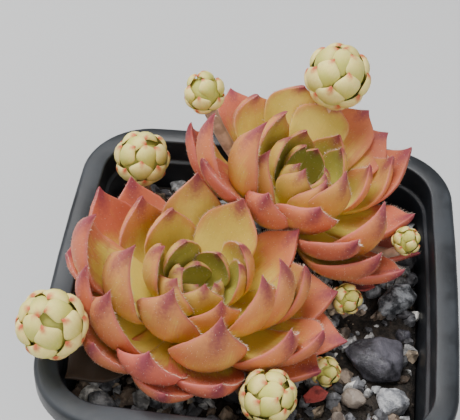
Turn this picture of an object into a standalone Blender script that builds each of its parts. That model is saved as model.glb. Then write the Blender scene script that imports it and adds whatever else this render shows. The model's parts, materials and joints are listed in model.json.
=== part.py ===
"""Hens and chicks: two succulent rosettes and their offsets in a square nursery pot.

Lengths are millimetres and angles degrees until a mesh is made, where MM turns
lengths into metres. The origin is the centre of the pot's flat underside, +Z is
up, and the front of the pot faces -Y.
"""

import math
import random

import bmesh
import bpy
from mathutils import Matrix, Vector, noise

MM = 0.001
GOLDEN_ANGLE = 137.508
GAP = 0.3
SLIVER = 2e-6

# Pot
POT_HEIGHT = 80.0
RIM_HALF = 45.0
RIM_OPENING_HALF = 39.7
RIM_CORNER = 17.0
RIM_EDGE_ROUND = 1.2
SKIRT_DROP = 5.0
BAND_DROP = 6.0
SHOULDER = 1.2
WALL = 1.2
BASE_HALF = 31.5
BASE_CORNER = 10.0
FLOOR = 1.6
CORNER_STEPS = 5
WALL_BOW = 0.6
DRAIN_RADIUS = 3.5
DRAIN_SPACING = 20.0

# Soil and grit
SOIL_LEVEL = 68.0
SOIL_WAVE = 1.1
SOIL_GAP = 0.55
GRIT_COUNT = 34
GRIT_RADIUS = (1.3, 2.6)

# One fleshy leaf
LEAF_STATIONS = (0.0, 0.34, 0.62, 0.82, 0.94)
LEAF_BASE_SHARE = 0.5
LEAF_WIDEST_AT = 0.62
LEAF_CUP = 0.10
LEAF_PILLOW = 0.10
RIM_CLEARANCE = 86.0
WALL_CLEARANCE = 38.2
GROUND_CLEARANCE = 72.7
RIM_SAG = 2.5
RIM_REACH = 2.5
RIM_TOUCH = 0.01

# Each hen: its crown and lean, how many leaves its spiral has, the first leaf's
# direction, and each measure from the inmost leaf to the outermost with its power.
# Lost leaves are those that withered or never showed. A leaning leaf has its own
# turn and lift in degrees, its own reach and width in millimetres and its own bow
# added.
FRONT = dict(
    crown=(-13.6, -6.2, 74.9), lean=(8.9, -0.9), leaves=51, turn=-1, first=24.0,
    lift=(83.6, 12.0, 0.71), reach=(8.0, 34.0, 2.5), width=(6.0, 16.0, 4.5),
    thick=(1.6, 3.2), curl=(0.40, 0.70, 0.66), feet=(2.0, -1.0),
)
FRONT_LOST = {10, 17, 20, 22, 26, 27, 31, 32, 34, 36, 39, 44}
FRONT_LEANING = {
    1: (0, 11, -3, 0, 0), 3: (0, -4, -1, 0, 0), 7: (-6, 1, 0, 0, 0), 9: (1, -1, -2, 0, 0),
    11: (-18, -6, 0, 0, 0), 12: (9, 5, -1, 0, 0), 13: (-9, 11, -2, 0, 0),
    14: (-10, -1, 6, 2, 0), 15: (6, -4, -1, 0, 0), 16: (-20, 7, 4, 0, 0),
    18: (-1, 3, 1, 0, -0.32), 19: (-10, 0, 7, 2, 0), 21: (-31, 13, 2, 0, 0),
    23: (1, -2, 1, 0, -0.32), 24: (-9, -3, 6, 0, 0), 25: (21, 15, 1, 0, 0),
    28: (3, -2, -4, 0, 0), 29: (4, 7, -2, 0, 0), 30: (5, 5, 2, 0, 0), 33: (21, 16, 4, 0, 0),
    35: (2, 2, 2, 0, 0), 37: (-7, 5, 3, 0, 0), 38: (8, 12, 1, 0, 0), 42: (-4, -3, -1, 0, 0),
    45: (9, -2, 2, 0, 0), 46: (7, 5, -2, 0, 0), 47: (-8, 19, -5, -3, -0.45),
    50: (-2, -2, 2, 0, 0), 51: (12, -16, 3, 0, 0),
}

BACK = dict(
    crown=(6.6, 25.3, 77.7), lean=(17.0, 5.2), leaves=57, turn=-1, first=269.8,
    lift=(82.7, 14.3, 0.74), reach=(12.0, 33.4, 1.9), width=(5.5, 15.0, 3.8),
    thick=(1.6, 3.2), curl=(0.40, 0.66, 0.60), feet=(2.0, -2.0),
)
BACK_LOST = {16, 17, 18, 20, 21, 22, 23, 24, 26, 27, 32, 33, 36, 37, 38, 42, 43, 48, 49, 50, 51, 55}
BACK_LEANING = {
    1: (0, -2, 3, 0, 0), 6: (0, -2, 2, 0, 0), 7: (2, 3, 2, 0, 0), 10: (-41, -2, 7, 0, 0),
    11: (20, -10, 6, 0, 0), 14: (-1, 2, 2, 0, 0), 15: (-2, -4, 0, 0, 0), 19: (31, 4, 8, 0, 0),
    25: (5, 0, -1, 0, 0), 28: (0, 0, -1, 0, -0.1), 29: (-1, -5, -1, -1, -0.3),
    30: (-1, 1, 0, 0, -0.1), 31: (-17, 6, 3, 0, 0), 34: (-3, 5, -1, 0, -0.42),
    35: (-1, 1, -3, 0, -0.1), 39: (-5, -4, 4, 0, 0), 40: (26, 10, 5, 0, -0.15),
    41: (-9, 10, 0, 0, -0.3), 44: (4, 2, -2, 0, -0.3), 45: (7, 2, 2, -1, -0.48),
    46: (-4, 11, -2, 0, -0.3), 47: (2, 9, 3, -2, -0.35), 52: (-5, 0, 3, 0, 0),
    53: (4, 9, 1, -1, -0.25), 54: (-1, 10, -4, 0, -0.3), 56: (2, 0, 0, 0, -0.3),
    57: (-6, -7, 1, 0, -0.1),
}
NO_LEANING = (0, 0, 0, 0, 0)


def clear_scene():
    for thing in list(bpy.data.objects):
        bpy.data.objects.remove(thing, do_unlink=True)


def collection(name):
    made = bpy.data.collections.new(name)
    bpy.context.scene.collection.children.link(made)
    return made


def material(name, colour, roughness):
    made = bpy.data.materials.new(name)
    made.use_nodes = True
    shader = made.node_tree.nodes["Principled BSDF"]
    shader.inputs["Base Color"].default_value = (*colour, 1.0)
    shader.inputs["Roughness"].default_value = roughness
    shader.inputs["Metallic"].default_value = 0.0
    return made


def mesh_object(name, points, faces, where, finish=None, smooth=True):
    """An object from points in millimetres, its faces turned outwards."""
    mesh = bpy.data.meshes.new(name)
    mesh.from_pydata([Vector(p) * MM for p in points], [], faces)
    shape = bmesh.new()
    shape.from_mesh(mesh)
    bmesh.ops.recalc_face_normals(shape, faces=shape.faces)
    shape.to_mesh(mesh)
    shape.free()
    if smooth:
        mesh.shade_smooth()
        mesh.set_sharp_from_angle(angle=math.radians(50))
    if finish:
        mesh.materials.append(finish)
    made = bpy.data.objects.new(name, mesh)
    where.objects.link(made)
    return made


def loft(rings, end_point=None):
    """Points and faces of a closed body through rings of equal length.

    The start is closed by a flat face, and so is the end where it has no point.
    """
    count = len(rings[0])
    points = [p for ring in rings for p in ring]
    faces = []
    for row in range(len(rings) - 1):
        for i in range(count):
            j = (i + 1) % count
            low, high = row * count, (row + 1) * count
            faces.append((low + i, low + j, high + j, high + i))
    last = (len(rings) - 1) * count
    faces.append(tuple(reversed(range(count))))
    if end_point is None:
        faces.append(tuple(last + i for i in range(count)))
    else:
        points.append(end_point)
        centre = len(points) - 1
        faces += [(last + i, last + (i + 1) % count, centre) for i in range(count)]
    return points, faces


def rounded_square(half, corner, z, bow=0.0, steps=CORNER_STEPS):
    """A level ring: a square with round corners, whose sides bow out a little."""
    ring = []
    for quarter in range(4):
        for step in range(steps + 1):
            angle = math.radians(90 * quarter + 90 * step / steps)
            x = (half - corner) * (1 if quarter in (0, 3) else -1) + corner * math.cos(angle)
            y = (half - corner) * (1 if quarter in (0, 1) else -1) + corner * math.sin(angle)
            ring.append(Vector((x, y, z)))
        turned = math.radians(90 * (quarter + 1))
        ring.append(Vector(((half + bow) * math.cos(turned), (half + bow) * math.sin(turned), z)))
    return ring


def wall_half(z):
    """Half width of the tapered wall's outer face at a height."""
    top = RIM_OPENING_HALF - SHOULDER + WALL
    share = z / (POT_HEIGHT - BAND_DROP)
    return BASE_HALF + (top - BASE_HALF) * share


def wall_corner(z):
    return BASE_CORNER + (RIM_CORNER - 6.0 - BASE_CORNER) * z / POT_HEIGHT


def inner_wall(z):
    """Half width, corner radius and bow of the wall's inner face at a height."""
    share = (z - FLOOR) / (POT_HEIGHT - BAND_DROP - 0.4 - FLOOR)
    half = lerp(wall_half(FLOOR) - WALL, RIM_OPENING_HALF - SHOULDER, share)
    return half, lerp(BASE_CORNER - WALL, RIM_CORNER - 6.5, share), WALL_BOW * share


def lerp(a, b, t):
    return a + (b - a) * t


def cylinder(name, radius, low, high, where, sides=12):
    """An upright or slanted round bar between two points."""
    low, high = Vector(low), Vector(high)
    axis = high - low
    shape = bmesh.new()
    bmesh.ops.create_cone(
        shape, cap_ends=True, segments=sides, radius1=radius * MM, radius2=radius * MM,
        depth=axis.length * MM,
    )
    turned = axis.to_track_quat("Z", "Y").to_matrix().to_4x4()
    bmesh.ops.transform(
        shape, verts=shape.verts, matrix=Matrix.Translation((low + high) / 2 * MM) @ turned
    )
    mesh = bpy.data.meshes.new(name)
    shape.to_mesh(mesh)
    shape.free()
    made = bpy.data.objects.new(name, mesh)
    where.objects.link(made)
    return made


def ball(name, centre, radii, where, rings=6, segments=10, turned=None):
    """An ellipsoid from a UV sphere."""
    shape = bmesh.new()
    bmesh.ops.create_uvsphere(shape, u_segments=segments, v_segments=rings, radius=MM)
    grow = Matrix.Diagonal((*radii, 1.0))
    spin = turned.to_4x4() if turned else Matrix.Identity(4)
    bmesh.ops.transform(
        shape, verts=shape.verts, matrix=Matrix.Translation(Vector(centre) * MM) @ spin @ grow
    )
    mesh = bpy.data.meshes.new(name)
    shape.to_mesh(mesh)
    shape.free()
    made = bpy.data.objects.new(name, mesh)
    where.objects.link(made)
    return made


def combine(base, others, operation, name):
    """One applied Boolean of a collection on the base; the helpers are removed."""
    change = base.modifiers.new(operation.title(), "BOOLEAN")
    change.operation = operation
    change.operand_type = "COLLECTION"
    change.collection = others
    change.solver = "MANIFOLD"
    graph = bpy.context.evaluated_depsgraph_get()
    mesh = bpy.data.meshes.new_from_object(base.evaluated_get(graph))
    mesh.name = name
    base.modifiers.clear()
    base.data = mesh
    for helper in list(others.objects):
        bpy.data.objects.remove(helper, do_unlink=True)
    bpy.data.collections.remove(others)
    keep_largest_body(mesh)


def keep_largest_body(mesh):
    """Drops loose scraps and the inner skin of any hollow that fusing sealed."""
    shape = bmesh.new()
    shape.from_mesh(mesh)
    bodies = []
    left = set(shape.verts)
    while left:
        queue = [left.pop()]
        body = set(queue)
        while queue:
            for edge in queue.pop().link_edges:
                for other in edge.verts:
                    if other in left:
                        left.discard(other)
                        body.add(other)
                        queue.append(other)
        bodies.append(body)
    bodies.sort(key=len)
    for body in bodies[:-1]:
        bmesh.ops.delete(shape, geom=list(body), context="VERTS")
    bmesh.ops.dissolve_degenerate(shape, edges=shape.edges, dist=SLIVER)
    shape.to_mesh(mesh)
    shape.free()


def finish_mesh(thing, finish, angle=40):
    thing.data.materials.clear()
    thing.data.materials.append(finish)
    thing.data.shade_smooth()
    thing.data.set_sharp_from_angle(angle=math.radians(angle))


def make_pot(where, finish):
    """The moulded shell: taper, hanging skirt, flat rim and the step inside it."""
    top = POT_HEIGHT
    band = top - BAND_DROP
    under = band - 2.0
    skirt_inner = RIM_HALF - WALL
    step = band - 0.4
    profile = (
        (BASE_HALF, BASE_CORNER, 0.0, 0.0),
        (wall_half(under), wall_corner(under), under, WALL_BOW),
        (wall_half(top - 1.4 * WALL), wall_corner(top), top - 1.4 * WALL, WALL_BOW),
        (skirt_inner, RIM_CORNER - WALL, top - 1.4 * WALL, WALL_BOW),
        (skirt_inner, RIM_CORNER - WALL, top - SKIRT_DROP, WALL_BOW),
        (RIM_HALF, RIM_CORNER, top - SKIRT_DROP, WALL_BOW),
        (RIM_HALF, RIM_CORNER, top - RIM_EDGE_ROUND, WALL_BOW),
        (RIM_HALF - 0.35, RIM_CORNER - 0.35, top - 0.35, WALL_BOW),
        (RIM_HALF - RIM_EDGE_ROUND, RIM_CORNER - RIM_EDGE_ROUND, top, WALL_BOW),
        (RIM_OPENING_HALF + 0.5, RIM_CORNER - 5.0, top, WALL_BOW),
        (RIM_OPENING_HALF, RIM_CORNER - 5.5, top - 0.5, WALL_BOW),
        (RIM_OPENING_HALF - 0.15, RIM_CORNER - 5.6, band, WALL_BOW),
    )
    rings = [rounded_square(half, corner, z, bow) for half, corner, z, bow in profile]
    for z in (step, FLOOR):
        half, corner, bow = inner_wall(z)
        rings.append(rounded_square(half, corner, z, bow))
    pot = mesh_object("pot", *loft(rings), where)
    holes = collection("drain cutters")
    for column in (-1, 0, 1):
        for row in (-1, 0, 1):
            if column or row:
                x, y = column * DRAIN_SPACING, row * DRAIN_SPACING
                cylinder("drain", DRAIN_RADIUS, (x, y, -2), (x, y, FLOOR + 2), holes, 10)
    combine(pot, holes, "DIFFERENCE", "pot")
    finish_mesh(pot, finish)
    return pot


def ground_height(x, y):
    """The soil's surface, mounded a little in the middle."""
    wave = noise.noise(Vector((x * 0.09, y * 0.09, 4.0)))
    reach = max(abs(x), abs(y)) / RIM_OPENING_HALF
    return SOIL_LEVEL + SOIL_WAVE * wave + 1.2 * (1.0 - reach)


def make_rock(name, centre, radii, seed, where, finish=None, points=15, grow=0.0):
    """An angular stone: the hull of points scattered on an ellipsoid."""
    chance = random.Random(seed)
    spin = Matrix.Rotation(chance.uniform(0, math.tau), 3, "Z")
    corners = []
    for i in range(points):
        z = 1 - 2 * (i + 0.5) / points
        angle = math.radians(GOLDEN_ANGLE * i) + chance.uniform(-0.35, 0.35)
        flat = math.sqrt(1 - z * z)
        size = chance.uniform(0.82, 1.08)
        corner = Vector((flat * math.cos(angle), flat * math.sin(angle), z)) * size
        corner = Vector([c * (r + grow) for c, r in zip(corner, radii)])
        corners.append((spin @ corner + Vector(centre)) * MM)
    shape = bmesh.new()
    for corner in corners:
        shape.verts.new(corner)
    made = bmesh.ops.convex_hull(shape, input=shape.verts)
    spare = [v for v in made["geom_interior"] if isinstance(v, bmesh.types.BMVert)]
    bmesh.ops.delete(shape, geom=spare, context="VERTS")
    bmesh.ops.recalc_face_normals(shape, faces=shape.faces)
    mesh = bpy.data.meshes.new(name)
    shape.to_mesh(mesh)
    shape.free()
    if finish:
        mesh.materials.append(finish)
    rock = bpy.data.objects.new(name, mesh)
    where.objects.link(rock)
    return rock


# Larger stones: name, centre (x, y), height of the centre over the soil, radii, colour
STONES = (
    ("stone_slate", (28.4, -13.2), 1.6, (8.0, 6.8, 3.6), "slate"),
    ("stone_mottled", (32.8, 4.0), 1.0, (3.8, 6.8, 3.4), "mottled"),
    ("stone_dark", (34.6, -4.9), 0.4, (2.3, 2.1, 2.2), "slate"),
    ("stone_granite", (32.0, -24.6), 1.4, (4.4, 4.2, 3.2), "granite"),
    ("stone_tan", (23.6, -24.8), 1.0, (3.3, 3.0, 2.6), "tan"),
    ("stone_brown", (20.6, -30.4), 0.4, (2.8, 2.2, 2.2), "tan"),
    ("stone_white", (14.6, -33.0), 0.2, (2.5, 2.1, 2.0), "pale"),
    ("stone_plum", (28.4, -32.6), 0.8, (4.0, 3.0, 2.6), "slate"),
    ("stone_back_left", (-22.0, 26.0), 0.8, (4.0, 3.4, 2.8), "mottled"),
    ("stone_left", (-33.3, 20.0), 0.6, (2.8, 4.0, 2.4), "slate"),
    ("stone_front_left", (-30.5, -31.0), 0.5, (3.6, 3.0, 2.6), "granite"),
    ("stone_back", (-14.0, 33.8), 0.6, (4.4, 2.4, 2.6), "tan"),
    ("stone_back_right", (31.0, 31.0), 0.8, (3.2, 3.4, 2.6), "slate"),
)
STONE_COLOURS = {
    "slate": (0.10, 0.095, 0.11), "mottled": (0.22, 0.22, 0.24), "granite": (0.42, 0.42, 0.43),
    "tan": (0.30, 0.25, 0.20), "pale": (0.62, 0.60, 0.58),
}

# Hen stems: crown to a point below the soil's surface
STEM_RADIUS = 4.2
STEM_FOOT = 57.0
SOCKET = 0.45


def stem_line(hen):
    crown = Vector(hen["crown"])
    return Vector((crown.x, crown.y, STEM_FOOT)), crown


def make_soil(where, finish):
    """The potting mix up to its gritty surface, with a plain hole for each stem."""
    bottom = FLOOR + GAP
    levels = (bottom, SOIL_LEVEL - 1.5)
    rings = []
    for z in levels:
        half, corner, bow = inner_wall(z)
        rings.append(rounded_square(half - SOIL_GAP, corner - SOIL_GAP, z, bow))
    for share in (0.93, 0.72, 0.48, 0.24):
        ring = []
        for p in rings[1]:
            x, y = p.x * share, p.y * share
            ring.append(Vector((x, y, ground_height(x, y))))
        rings.append(ring)
    soil = mesh_object("soil", *loft(rings, end_point=Vector((0, 0, ground_height(0, 0)))), where)
    grit = collection("grit")
    chance = random.Random(11)
    placed = 0
    while placed < GRIT_COUNT:
        x, y = chance.uniform(-33, 33), chance.uniform(-33, 33)
        if math.hypot(x, y) > 42:
            continue
        if any(math.hypot(x - hen["crown"][0], y - hen["crown"][1]) < 15 for hen in (FRONT, BACK)):
            continue
        if any(math.hypot(x - s[1][0], y - s[1][1]) < max(s[3]) + 3 for s in STONES):
            continue
        size = chance.uniform(*GRIT_RADIUS)
        z = ground_height(x, y) + 0.15 * size
        radii = (size, size * chance.uniform(0.7, 1.0), size * 0.75)
        make_rock("grit", (x, y, z), radii, 100 + placed, grit, points=9)
        placed += 1
    combine(soil, grit, "UNION", "soil")
    holes = collection("soil cutters")
    for hen in (FRONT, BACK):
        foot, crown = stem_line(hen)
        cylinder("hole", STEM_RADIUS + SOCKET, foot - Vector((0, 0, SOCKET)), crown, holes, 12)
    for number, (name, (x, y), rise, radii, _) in enumerate(STONES):
        centre = (x, y, ground_height(x, y) + rise)
        make_rock("seat " + name, centre, radii, 40 + number, holes, grow=SOCKET)
    combine(soil, holes, "DIFFERENCE", "soil")
    finish_mesh(soil, finish, 30)
    return soil


def make_stones(where, finishes):
    for number, (name, (x, y), rise, radii, colour) in enumerate(STONES):
        centre = (x, y, ground_height(x, y) + rise)
        make_rock(name, centre, radii, 40 + number, where, finishes[colour])


def leaf_width(share):
    """Width along the leaf: narrow foot, widest at two thirds, drawn to a point."""
    if share < LEAF_WIDEST_AT:
        t = share / LEAF_WIDEST_AT
        return lerp(LEAF_BASE_SHARE, 1.0, math.sin(t * math.pi / 2))
    t = (share - LEAF_WIDEST_AT) / (1 - LEAF_WIDEST_AT)
    return (1 - t ** 1.6) ** 1.1


def leaf_depth(share):
    """Thickness along the leaf, thinning towards the point."""
    return lerp(0.75, 1.0, math.sin(share * math.pi)) * (1 - share ** 5) + 0.12


def lean_matrix(lean):
    """Turns a hen's own axis: lean[0] degrees to the right, lean[1] to the back."""
    right = Matrix.Rotation(math.radians(lean[0]), 3, "Y")
    back = Matrix.Rotation(math.radians(-lean[1]), 3, "X")
    return back @ right


def curl_at(curl, share):
    """How far a leaf bows outwards: most in the middle whorls, which cup inwards."""
    inner, middle, outer = curl
    if share < 0.4:
        return lerp(inner, middle, share / 0.4)
    return lerp(middle, outer, (share - 0.4) / 0.6)


def leaf_points(hen, number, leaning):
    """Foot, bend and tip of one leaf, its sideways direction, width and thickness."""
    share = number / hen["leaves"]
    turn, more_lift, more_reach, wider, bow = leaning.get(number, NO_LEANING)
    azimuth = math.radians(hen["first"] + hen["turn"] * GOLDEN_ANGLE * number + turn)
    lift_in, lift_out, lift_power = hen["lift"]
    lift = math.radians(lerp(lift_in, lift_out, share ** lift_power) + more_lift)
    reach_in, reach_out, reach_power = hen["reach"]
    reach = lerp(reach_in, reach_out, 1 - (1 - share) ** reach_power) + more_reach
    width_in, width_out, width_power = hen["width"]
    width = lerp(width_in, width_out, 1 - (1 - share) ** width_power) + wider
    thickness = lerp(*hen["thick"], min(1, 2 * share))
    radial = Vector((math.cos(azimuth), math.sin(azimuth), 0))
    side = Vector((-math.sin(azimuth), math.cos(azimuth), 0))
    up = Vector((0, 0, 1))
    foot = radial * lerp(1.5, 4.5, share) + up * lerp(*hen["feet"], share)
    tip = radial * reach * math.cos(lift) + up * reach * math.sin(lift)
    chord = tip - foot
    outward = side.cross(chord).normalized()
    curl = curl_at(hen["curl"], share) + bow
    bend = (foot + tip) / 2 + outward * chord.length * curl
    frame = lean_matrix(hen["lean"])
    crown = Vector(hen["crown"])
    foot, bend, tip = (frame @ p + crown for p in (foot, bend, tip))
    bend, tip = settle(bend), settle(tip)
    if max(abs(tip.x), abs(tip.y)) > WALL_CLEARANCE + RIM_TOUCH:
        bend.z = max(bend.z, tip.z - RIM_SAG)
    return foot, bend, tip, frame @ side, width, thickness


def settle(point):
    """Moves a point of a leaf's middle line off the soil, the pot's wall and its rim."""
    point = point.copy()
    point.z = max(point.z, GROUND_CLEARANCE)
    if point.z < RIM_CLEARANCE:
        over = max(abs(point.x), abs(point.y)) - WALL_CLEARANCE
        if over > RIM_REACH:
            point.z = RIM_CLEARANCE
        elif over > 0:
            point.x = max(-WALL_CLEARANCE, min(WALL_CLEARANCE, point.x))
            point.y = max(-WALL_CLEARANCE, min(WALL_CLEARANCE, point.y))
    return point


def leaf_body(foot, bend, tip, side, width, thickness):
    """A keeled blade lofted along the curve from foot to tip."""
    rings = []
    for share in LEAF_STATIONS:
        left = foot.lerp(bend, share)
        right = bend.lerp(tip, share)
        middle = left.lerp(right, share)
        along = (right - left).normalized()
        upper = along.cross(side).normalized()
        half = width / 2 * leaf_width(share)
        deep = thickness * leaf_depth(share)
        cup = LEAF_CUP * half
        rings.append([
            middle - side * half + upper * cup,
            middle + upper * LEAF_PILLOW * deep,
            middle + side * half + upper * cup,
            middle + side * half * 0.58 - upper * deep * 0.62,
            middle - upper * deep * 0.9,
            middle - side * half * 0.58 - upper * deep * 0.62,
        ])
    return loft(rings, end_point=tip)


# Chicks: name, mother, centre, radius, direction of the growing point, scale leaves
CHICKS = (
    ("chick_left", FRONT, (-40.7, -27.7, 89.5), 7.0, (-0.25, -0.35, 0.9), 17),
    ("chick_back_left", FRONT, (-30.5, 30.0, 83.0), 6.3, (0.1, -0.2, 0.95), 15),
    ("chick_upper_left", BACK, (-16.2, 36.0, 100.5), 4.7, (-0.3, 0.1, 0.95), 11),
    ("chick_upper_right", BACK, (14.7, 46.5, 100.0), 7.4, (0.1, 0.1, 0.97), 17),
    ("chick_middle", FRONT, (20.8, -2.0, 75.8), 3.4, (0.7, -0.15, 0.65), 10),
    ("chick_front", FRONT, (5.2, -34.3, 80.6), 5.6, (0.45, -0.25, 0.85), 15),
    ("chick_right", BACK, (33.6, 12.7, 81.0), 3.2, (0.4, 0.0, 0.9), 10),
    ("chick_low_right", FRONT, (17.0, -21.0, 73.4), 3.2, (0.75, -0.45, 0.5), 10),
)
RUNNER_RADIUS = 1.3
RUNNER_SHARE = 0.30
RUNNER_STEPS = 6
RUNNER_LEVEL = 73.2
CHICK_CORE = 0.9
CHICK_FOOT = 1.03
RUNNER_NECK = 0.8
RUNNER_LOW_SHARE = 0.38


def runner_route(hen, centre, radius, direction):
    """A stolon's middle line: out from the stem, then up to the chick's underside."""
    start = Vector((*hen["crown"][:2], RUNNER_LEVEL))
    growing = Vector(direction).normalized()
    end = Vector(centre) - growing * (radius * CHICK_FOOT + GAP)
    neck = end - growing * RUNNER_NECK
    flat = Vector((neck.x - start.x, neck.y - start.y, 0))
    first = start + flat * RUNNER_LOW_SHARE
    climb = max(RUNNER_NECK, neck.z - RUNNER_LEVEL)
    second = neck - growing * min(flat.length * 0.3, climb)
    route = []
    for step in range(RUNNER_STEPS + 1):
        t = step / RUNNER_STEPS
        a, b, c = start.lerp(first, t), first.lerp(second, t), second.lerp(neck, t)
        route.append(a.lerp(b, t).lerp(b.lerp(c, t), t))
    return route + [end]


def make_hen(name, hen, lost, leaning, where, finish):
    """Leaves fused to a short stem, with the runners that carry its chicks."""
    foot, crown = stem_line(hen)
    stem = cylinder(name, STEM_RADIUS, foot, crown, where, 12)
    growth = collection(name + " growth")
    lean = lean_matrix(hen["lean"])
    ball("heart", crown + Vector((0, 0, 0.5)), (5.6, 5.6, 5.2), growth, turned=lean)
    for number in range(1, hen["leaves"] + 1):
        if number not in lost:
            mesh_object("leaf", *leaf_body(*leaf_points(hen, number, leaning)), growth)
    for _, mother, centre, radius, direction, _ in CHICKS:
        if mother is hen:
            thickness = min(RUNNER_RADIUS, RUNNER_SHARE * radius)
            runner(runner_route(hen, centre, radius, direction), thickness, growth)
    combine(stem, growth, "UNION", name)
    finish_mesh(stem, finish)
    return stem


def runner(route, radius, where, sides=6):
    """A stolon: a round tube through the points of its route."""
    rings = []
    for i, point in enumerate(route):
        along = (route[min(i + 1, len(route) - 1)] - route[max(i - 1, 0)]).normalized()
        side = along.cross(Vector((0.31, 0.2, 0.93))).normalized()
        other = along.cross(side)
        ring = []
        for k in range(sides):
            angle = math.tau * k / sides
            ring.append(point + (side * math.cos(angle) + other * math.sin(angle)) * radius)
        rings.append(ring)
    return mesh_object("runner", *loft(rings), where)


# Shed leaves lying on the grit: name, foot, bend, tip, width, thickness
FALLEN = (
    ("fallen_leaf_right", (20.5, 8.4, 70.4), (24.0, 6.2, 70.9), (27.6, 5.6, 72.2), 5.0, 1.2),
    ("fallen_leaf_front", (13.0, -27.6, 71.4), (15.4, -26.4, 71.6), (18.0, -25.8, 72.6), 4.0, 1.1),
)


def make_fallen_leaves(where, finish):
    for name, foot, bend, tip, width, thickness in FALLEN:
        foot, bend, tip = Vector(foot), Vector(bend), Vector(tip)
        side = Vector((0, 0, 1)).cross(tip - foot).normalized()
        mesh_object(name, *leaf_body(foot, bend, tip, side, width, thickness), where, finish)


def scale_body(centre, radius, frame, share, azimuth):
    """One scale leaf lying on the chick's ball, its point towards the growing tip."""
    top = math.radians(lerp(10, 118, share ** 0.8))
    span = math.radians(lerp(46, 62, share))
    rings = []
    for along, wide, rise in ((0.0, 0.40, 0.84), (0.55, 0.50, 0.99)):
        polar = top + span * (1 - along)
        ring = []
        for across, lift in ((-1, -0.03), (0, 0.10), (1, -0.03), (0, -0.16)):
            turn = azimuth + across * wide / max(0.45, math.sin(polar))
            direction = Vector((
                math.sin(polar) * math.cos(turn), math.sin(polar) * math.sin(turn),
                math.cos(polar),
            ))
            ring.append(centre + frame @ direction * radius * (rise + lift))
        rings.append(ring)
    tip = Vector((math.sin(top) * math.cos(azimuth), math.sin(top) * math.sin(azimuth), math.cos(top)))
    return loft(rings, end_point=centre + frame @ tip * radius * 1.06)


def make_chick(name, centre, radius, direction, scales, where, finish):
    """A closed globe of scale leaves on a golden-angle spiral."""
    centre = Vector(centre)
    frame = Vector(direction).normalized().to_track_quat("Z", "Y").to_matrix()
    core = ball(name, centre, (radius * CHICK_CORE,) * 3, where, 6, 8, frame)
    growth = collection(name + " scales")
    for number in range(1, scales + 1):
        share = (number - 0.5) / scales
        azimuth = math.radians(GOLDEN_ANGLE * number)
        mesh_object("scale", *scale_body(centre, radius, frame, share, azimuth), growth)
    combine(core, growth, "UNION", name)
    finish_mesh(core, finish)
    return core


def main():
    clear_scene()
    plant = collection("hens and chicks")
    pot_black = material("pot black", (0.018, 0.020, 0.024), 0.5)
    potting_mix = material("potting mix", (0.045, 0.035, 0.028), 0.95)
    golden = material("golden leaf", (0.55, 0.36, 0.12), 0.55)
    coral = material("coral leaf", (0.58, 0.26, 0.12), 0.55)
    cream = material("chick cream", (0.72, 0.66, 0.36), 0.55)
    dry = material("shed leaf", (0.28, 0.05, 0.03), 0.7)
    stones = {n: material("stone " + n, c, 0.85) for n, c in STONE_COLOURS.items()}
    make_pot(plant, pot_black)
    make_soil(plant, potting_mix)
    make_stones(plant, stones)
    make_hen("hen_front", FRONT, FRONT_LOST, FRONT_LEANING, plant, golden)
    make_hen("hen_back", BACK, BACK_LOST, BACK_LEANING, plant, coral)
    make_fallen_leaves(plant, dry)
    for name, _, centre, radius, direction, scales in CHICKS:
        make_chick(name, centre, radius, direction, scales, plant, cream)


main()
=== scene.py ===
"""Looks of the potted hens and chicks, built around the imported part.

The rosettes' leaves, the offsets' scales, the hairs on them and the grit are made
by Geometry Nodes from a few points or surfaces. The pot, soil bed and stones are
mesh code, and the stems and runners are curves. Lengths are metres, and MM turns
the leaf rule's millimetres into them.
"""

import json
import math
import random

import bmesh
import bpy
from mathutils import Matrix, Vector, noise

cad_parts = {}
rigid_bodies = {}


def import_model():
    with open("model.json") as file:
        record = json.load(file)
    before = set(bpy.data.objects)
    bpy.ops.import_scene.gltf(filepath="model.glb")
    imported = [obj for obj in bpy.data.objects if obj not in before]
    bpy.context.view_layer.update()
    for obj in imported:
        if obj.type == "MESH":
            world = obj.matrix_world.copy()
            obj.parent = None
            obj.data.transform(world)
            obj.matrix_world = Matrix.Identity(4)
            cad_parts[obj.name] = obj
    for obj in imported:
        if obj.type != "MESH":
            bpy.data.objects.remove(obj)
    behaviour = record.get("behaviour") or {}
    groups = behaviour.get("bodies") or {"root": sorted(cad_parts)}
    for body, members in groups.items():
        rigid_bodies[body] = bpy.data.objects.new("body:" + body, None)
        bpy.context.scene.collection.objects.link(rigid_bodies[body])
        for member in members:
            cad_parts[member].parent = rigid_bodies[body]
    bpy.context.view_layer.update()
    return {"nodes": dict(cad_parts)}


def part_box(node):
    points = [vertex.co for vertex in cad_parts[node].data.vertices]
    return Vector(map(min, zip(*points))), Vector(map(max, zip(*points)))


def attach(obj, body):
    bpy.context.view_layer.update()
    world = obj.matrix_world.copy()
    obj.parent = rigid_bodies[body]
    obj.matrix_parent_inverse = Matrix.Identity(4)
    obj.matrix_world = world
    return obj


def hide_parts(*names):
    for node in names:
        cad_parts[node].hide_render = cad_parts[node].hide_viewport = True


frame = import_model()

bl_info = {
    "name": "Potted hens and chicks",
    "version": (1, 0, 0),
    "blender": (4, 5, 0),
    "location": "3D View > Sidebar > Hens and chicks",
    "description": "Leaves, offsets, pot, soil and stones of a potted hens and chicks",
    "category": "Add Mesh",
}

MM = 0.001
GOLDEN_ANGLE = 137.508
POT_LOW, POT_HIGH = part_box("pot")
SOIL_LOW, SOIL_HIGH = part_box("soil")


# The leaf rule, in millimetres and degrees, as the part's source has it

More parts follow.
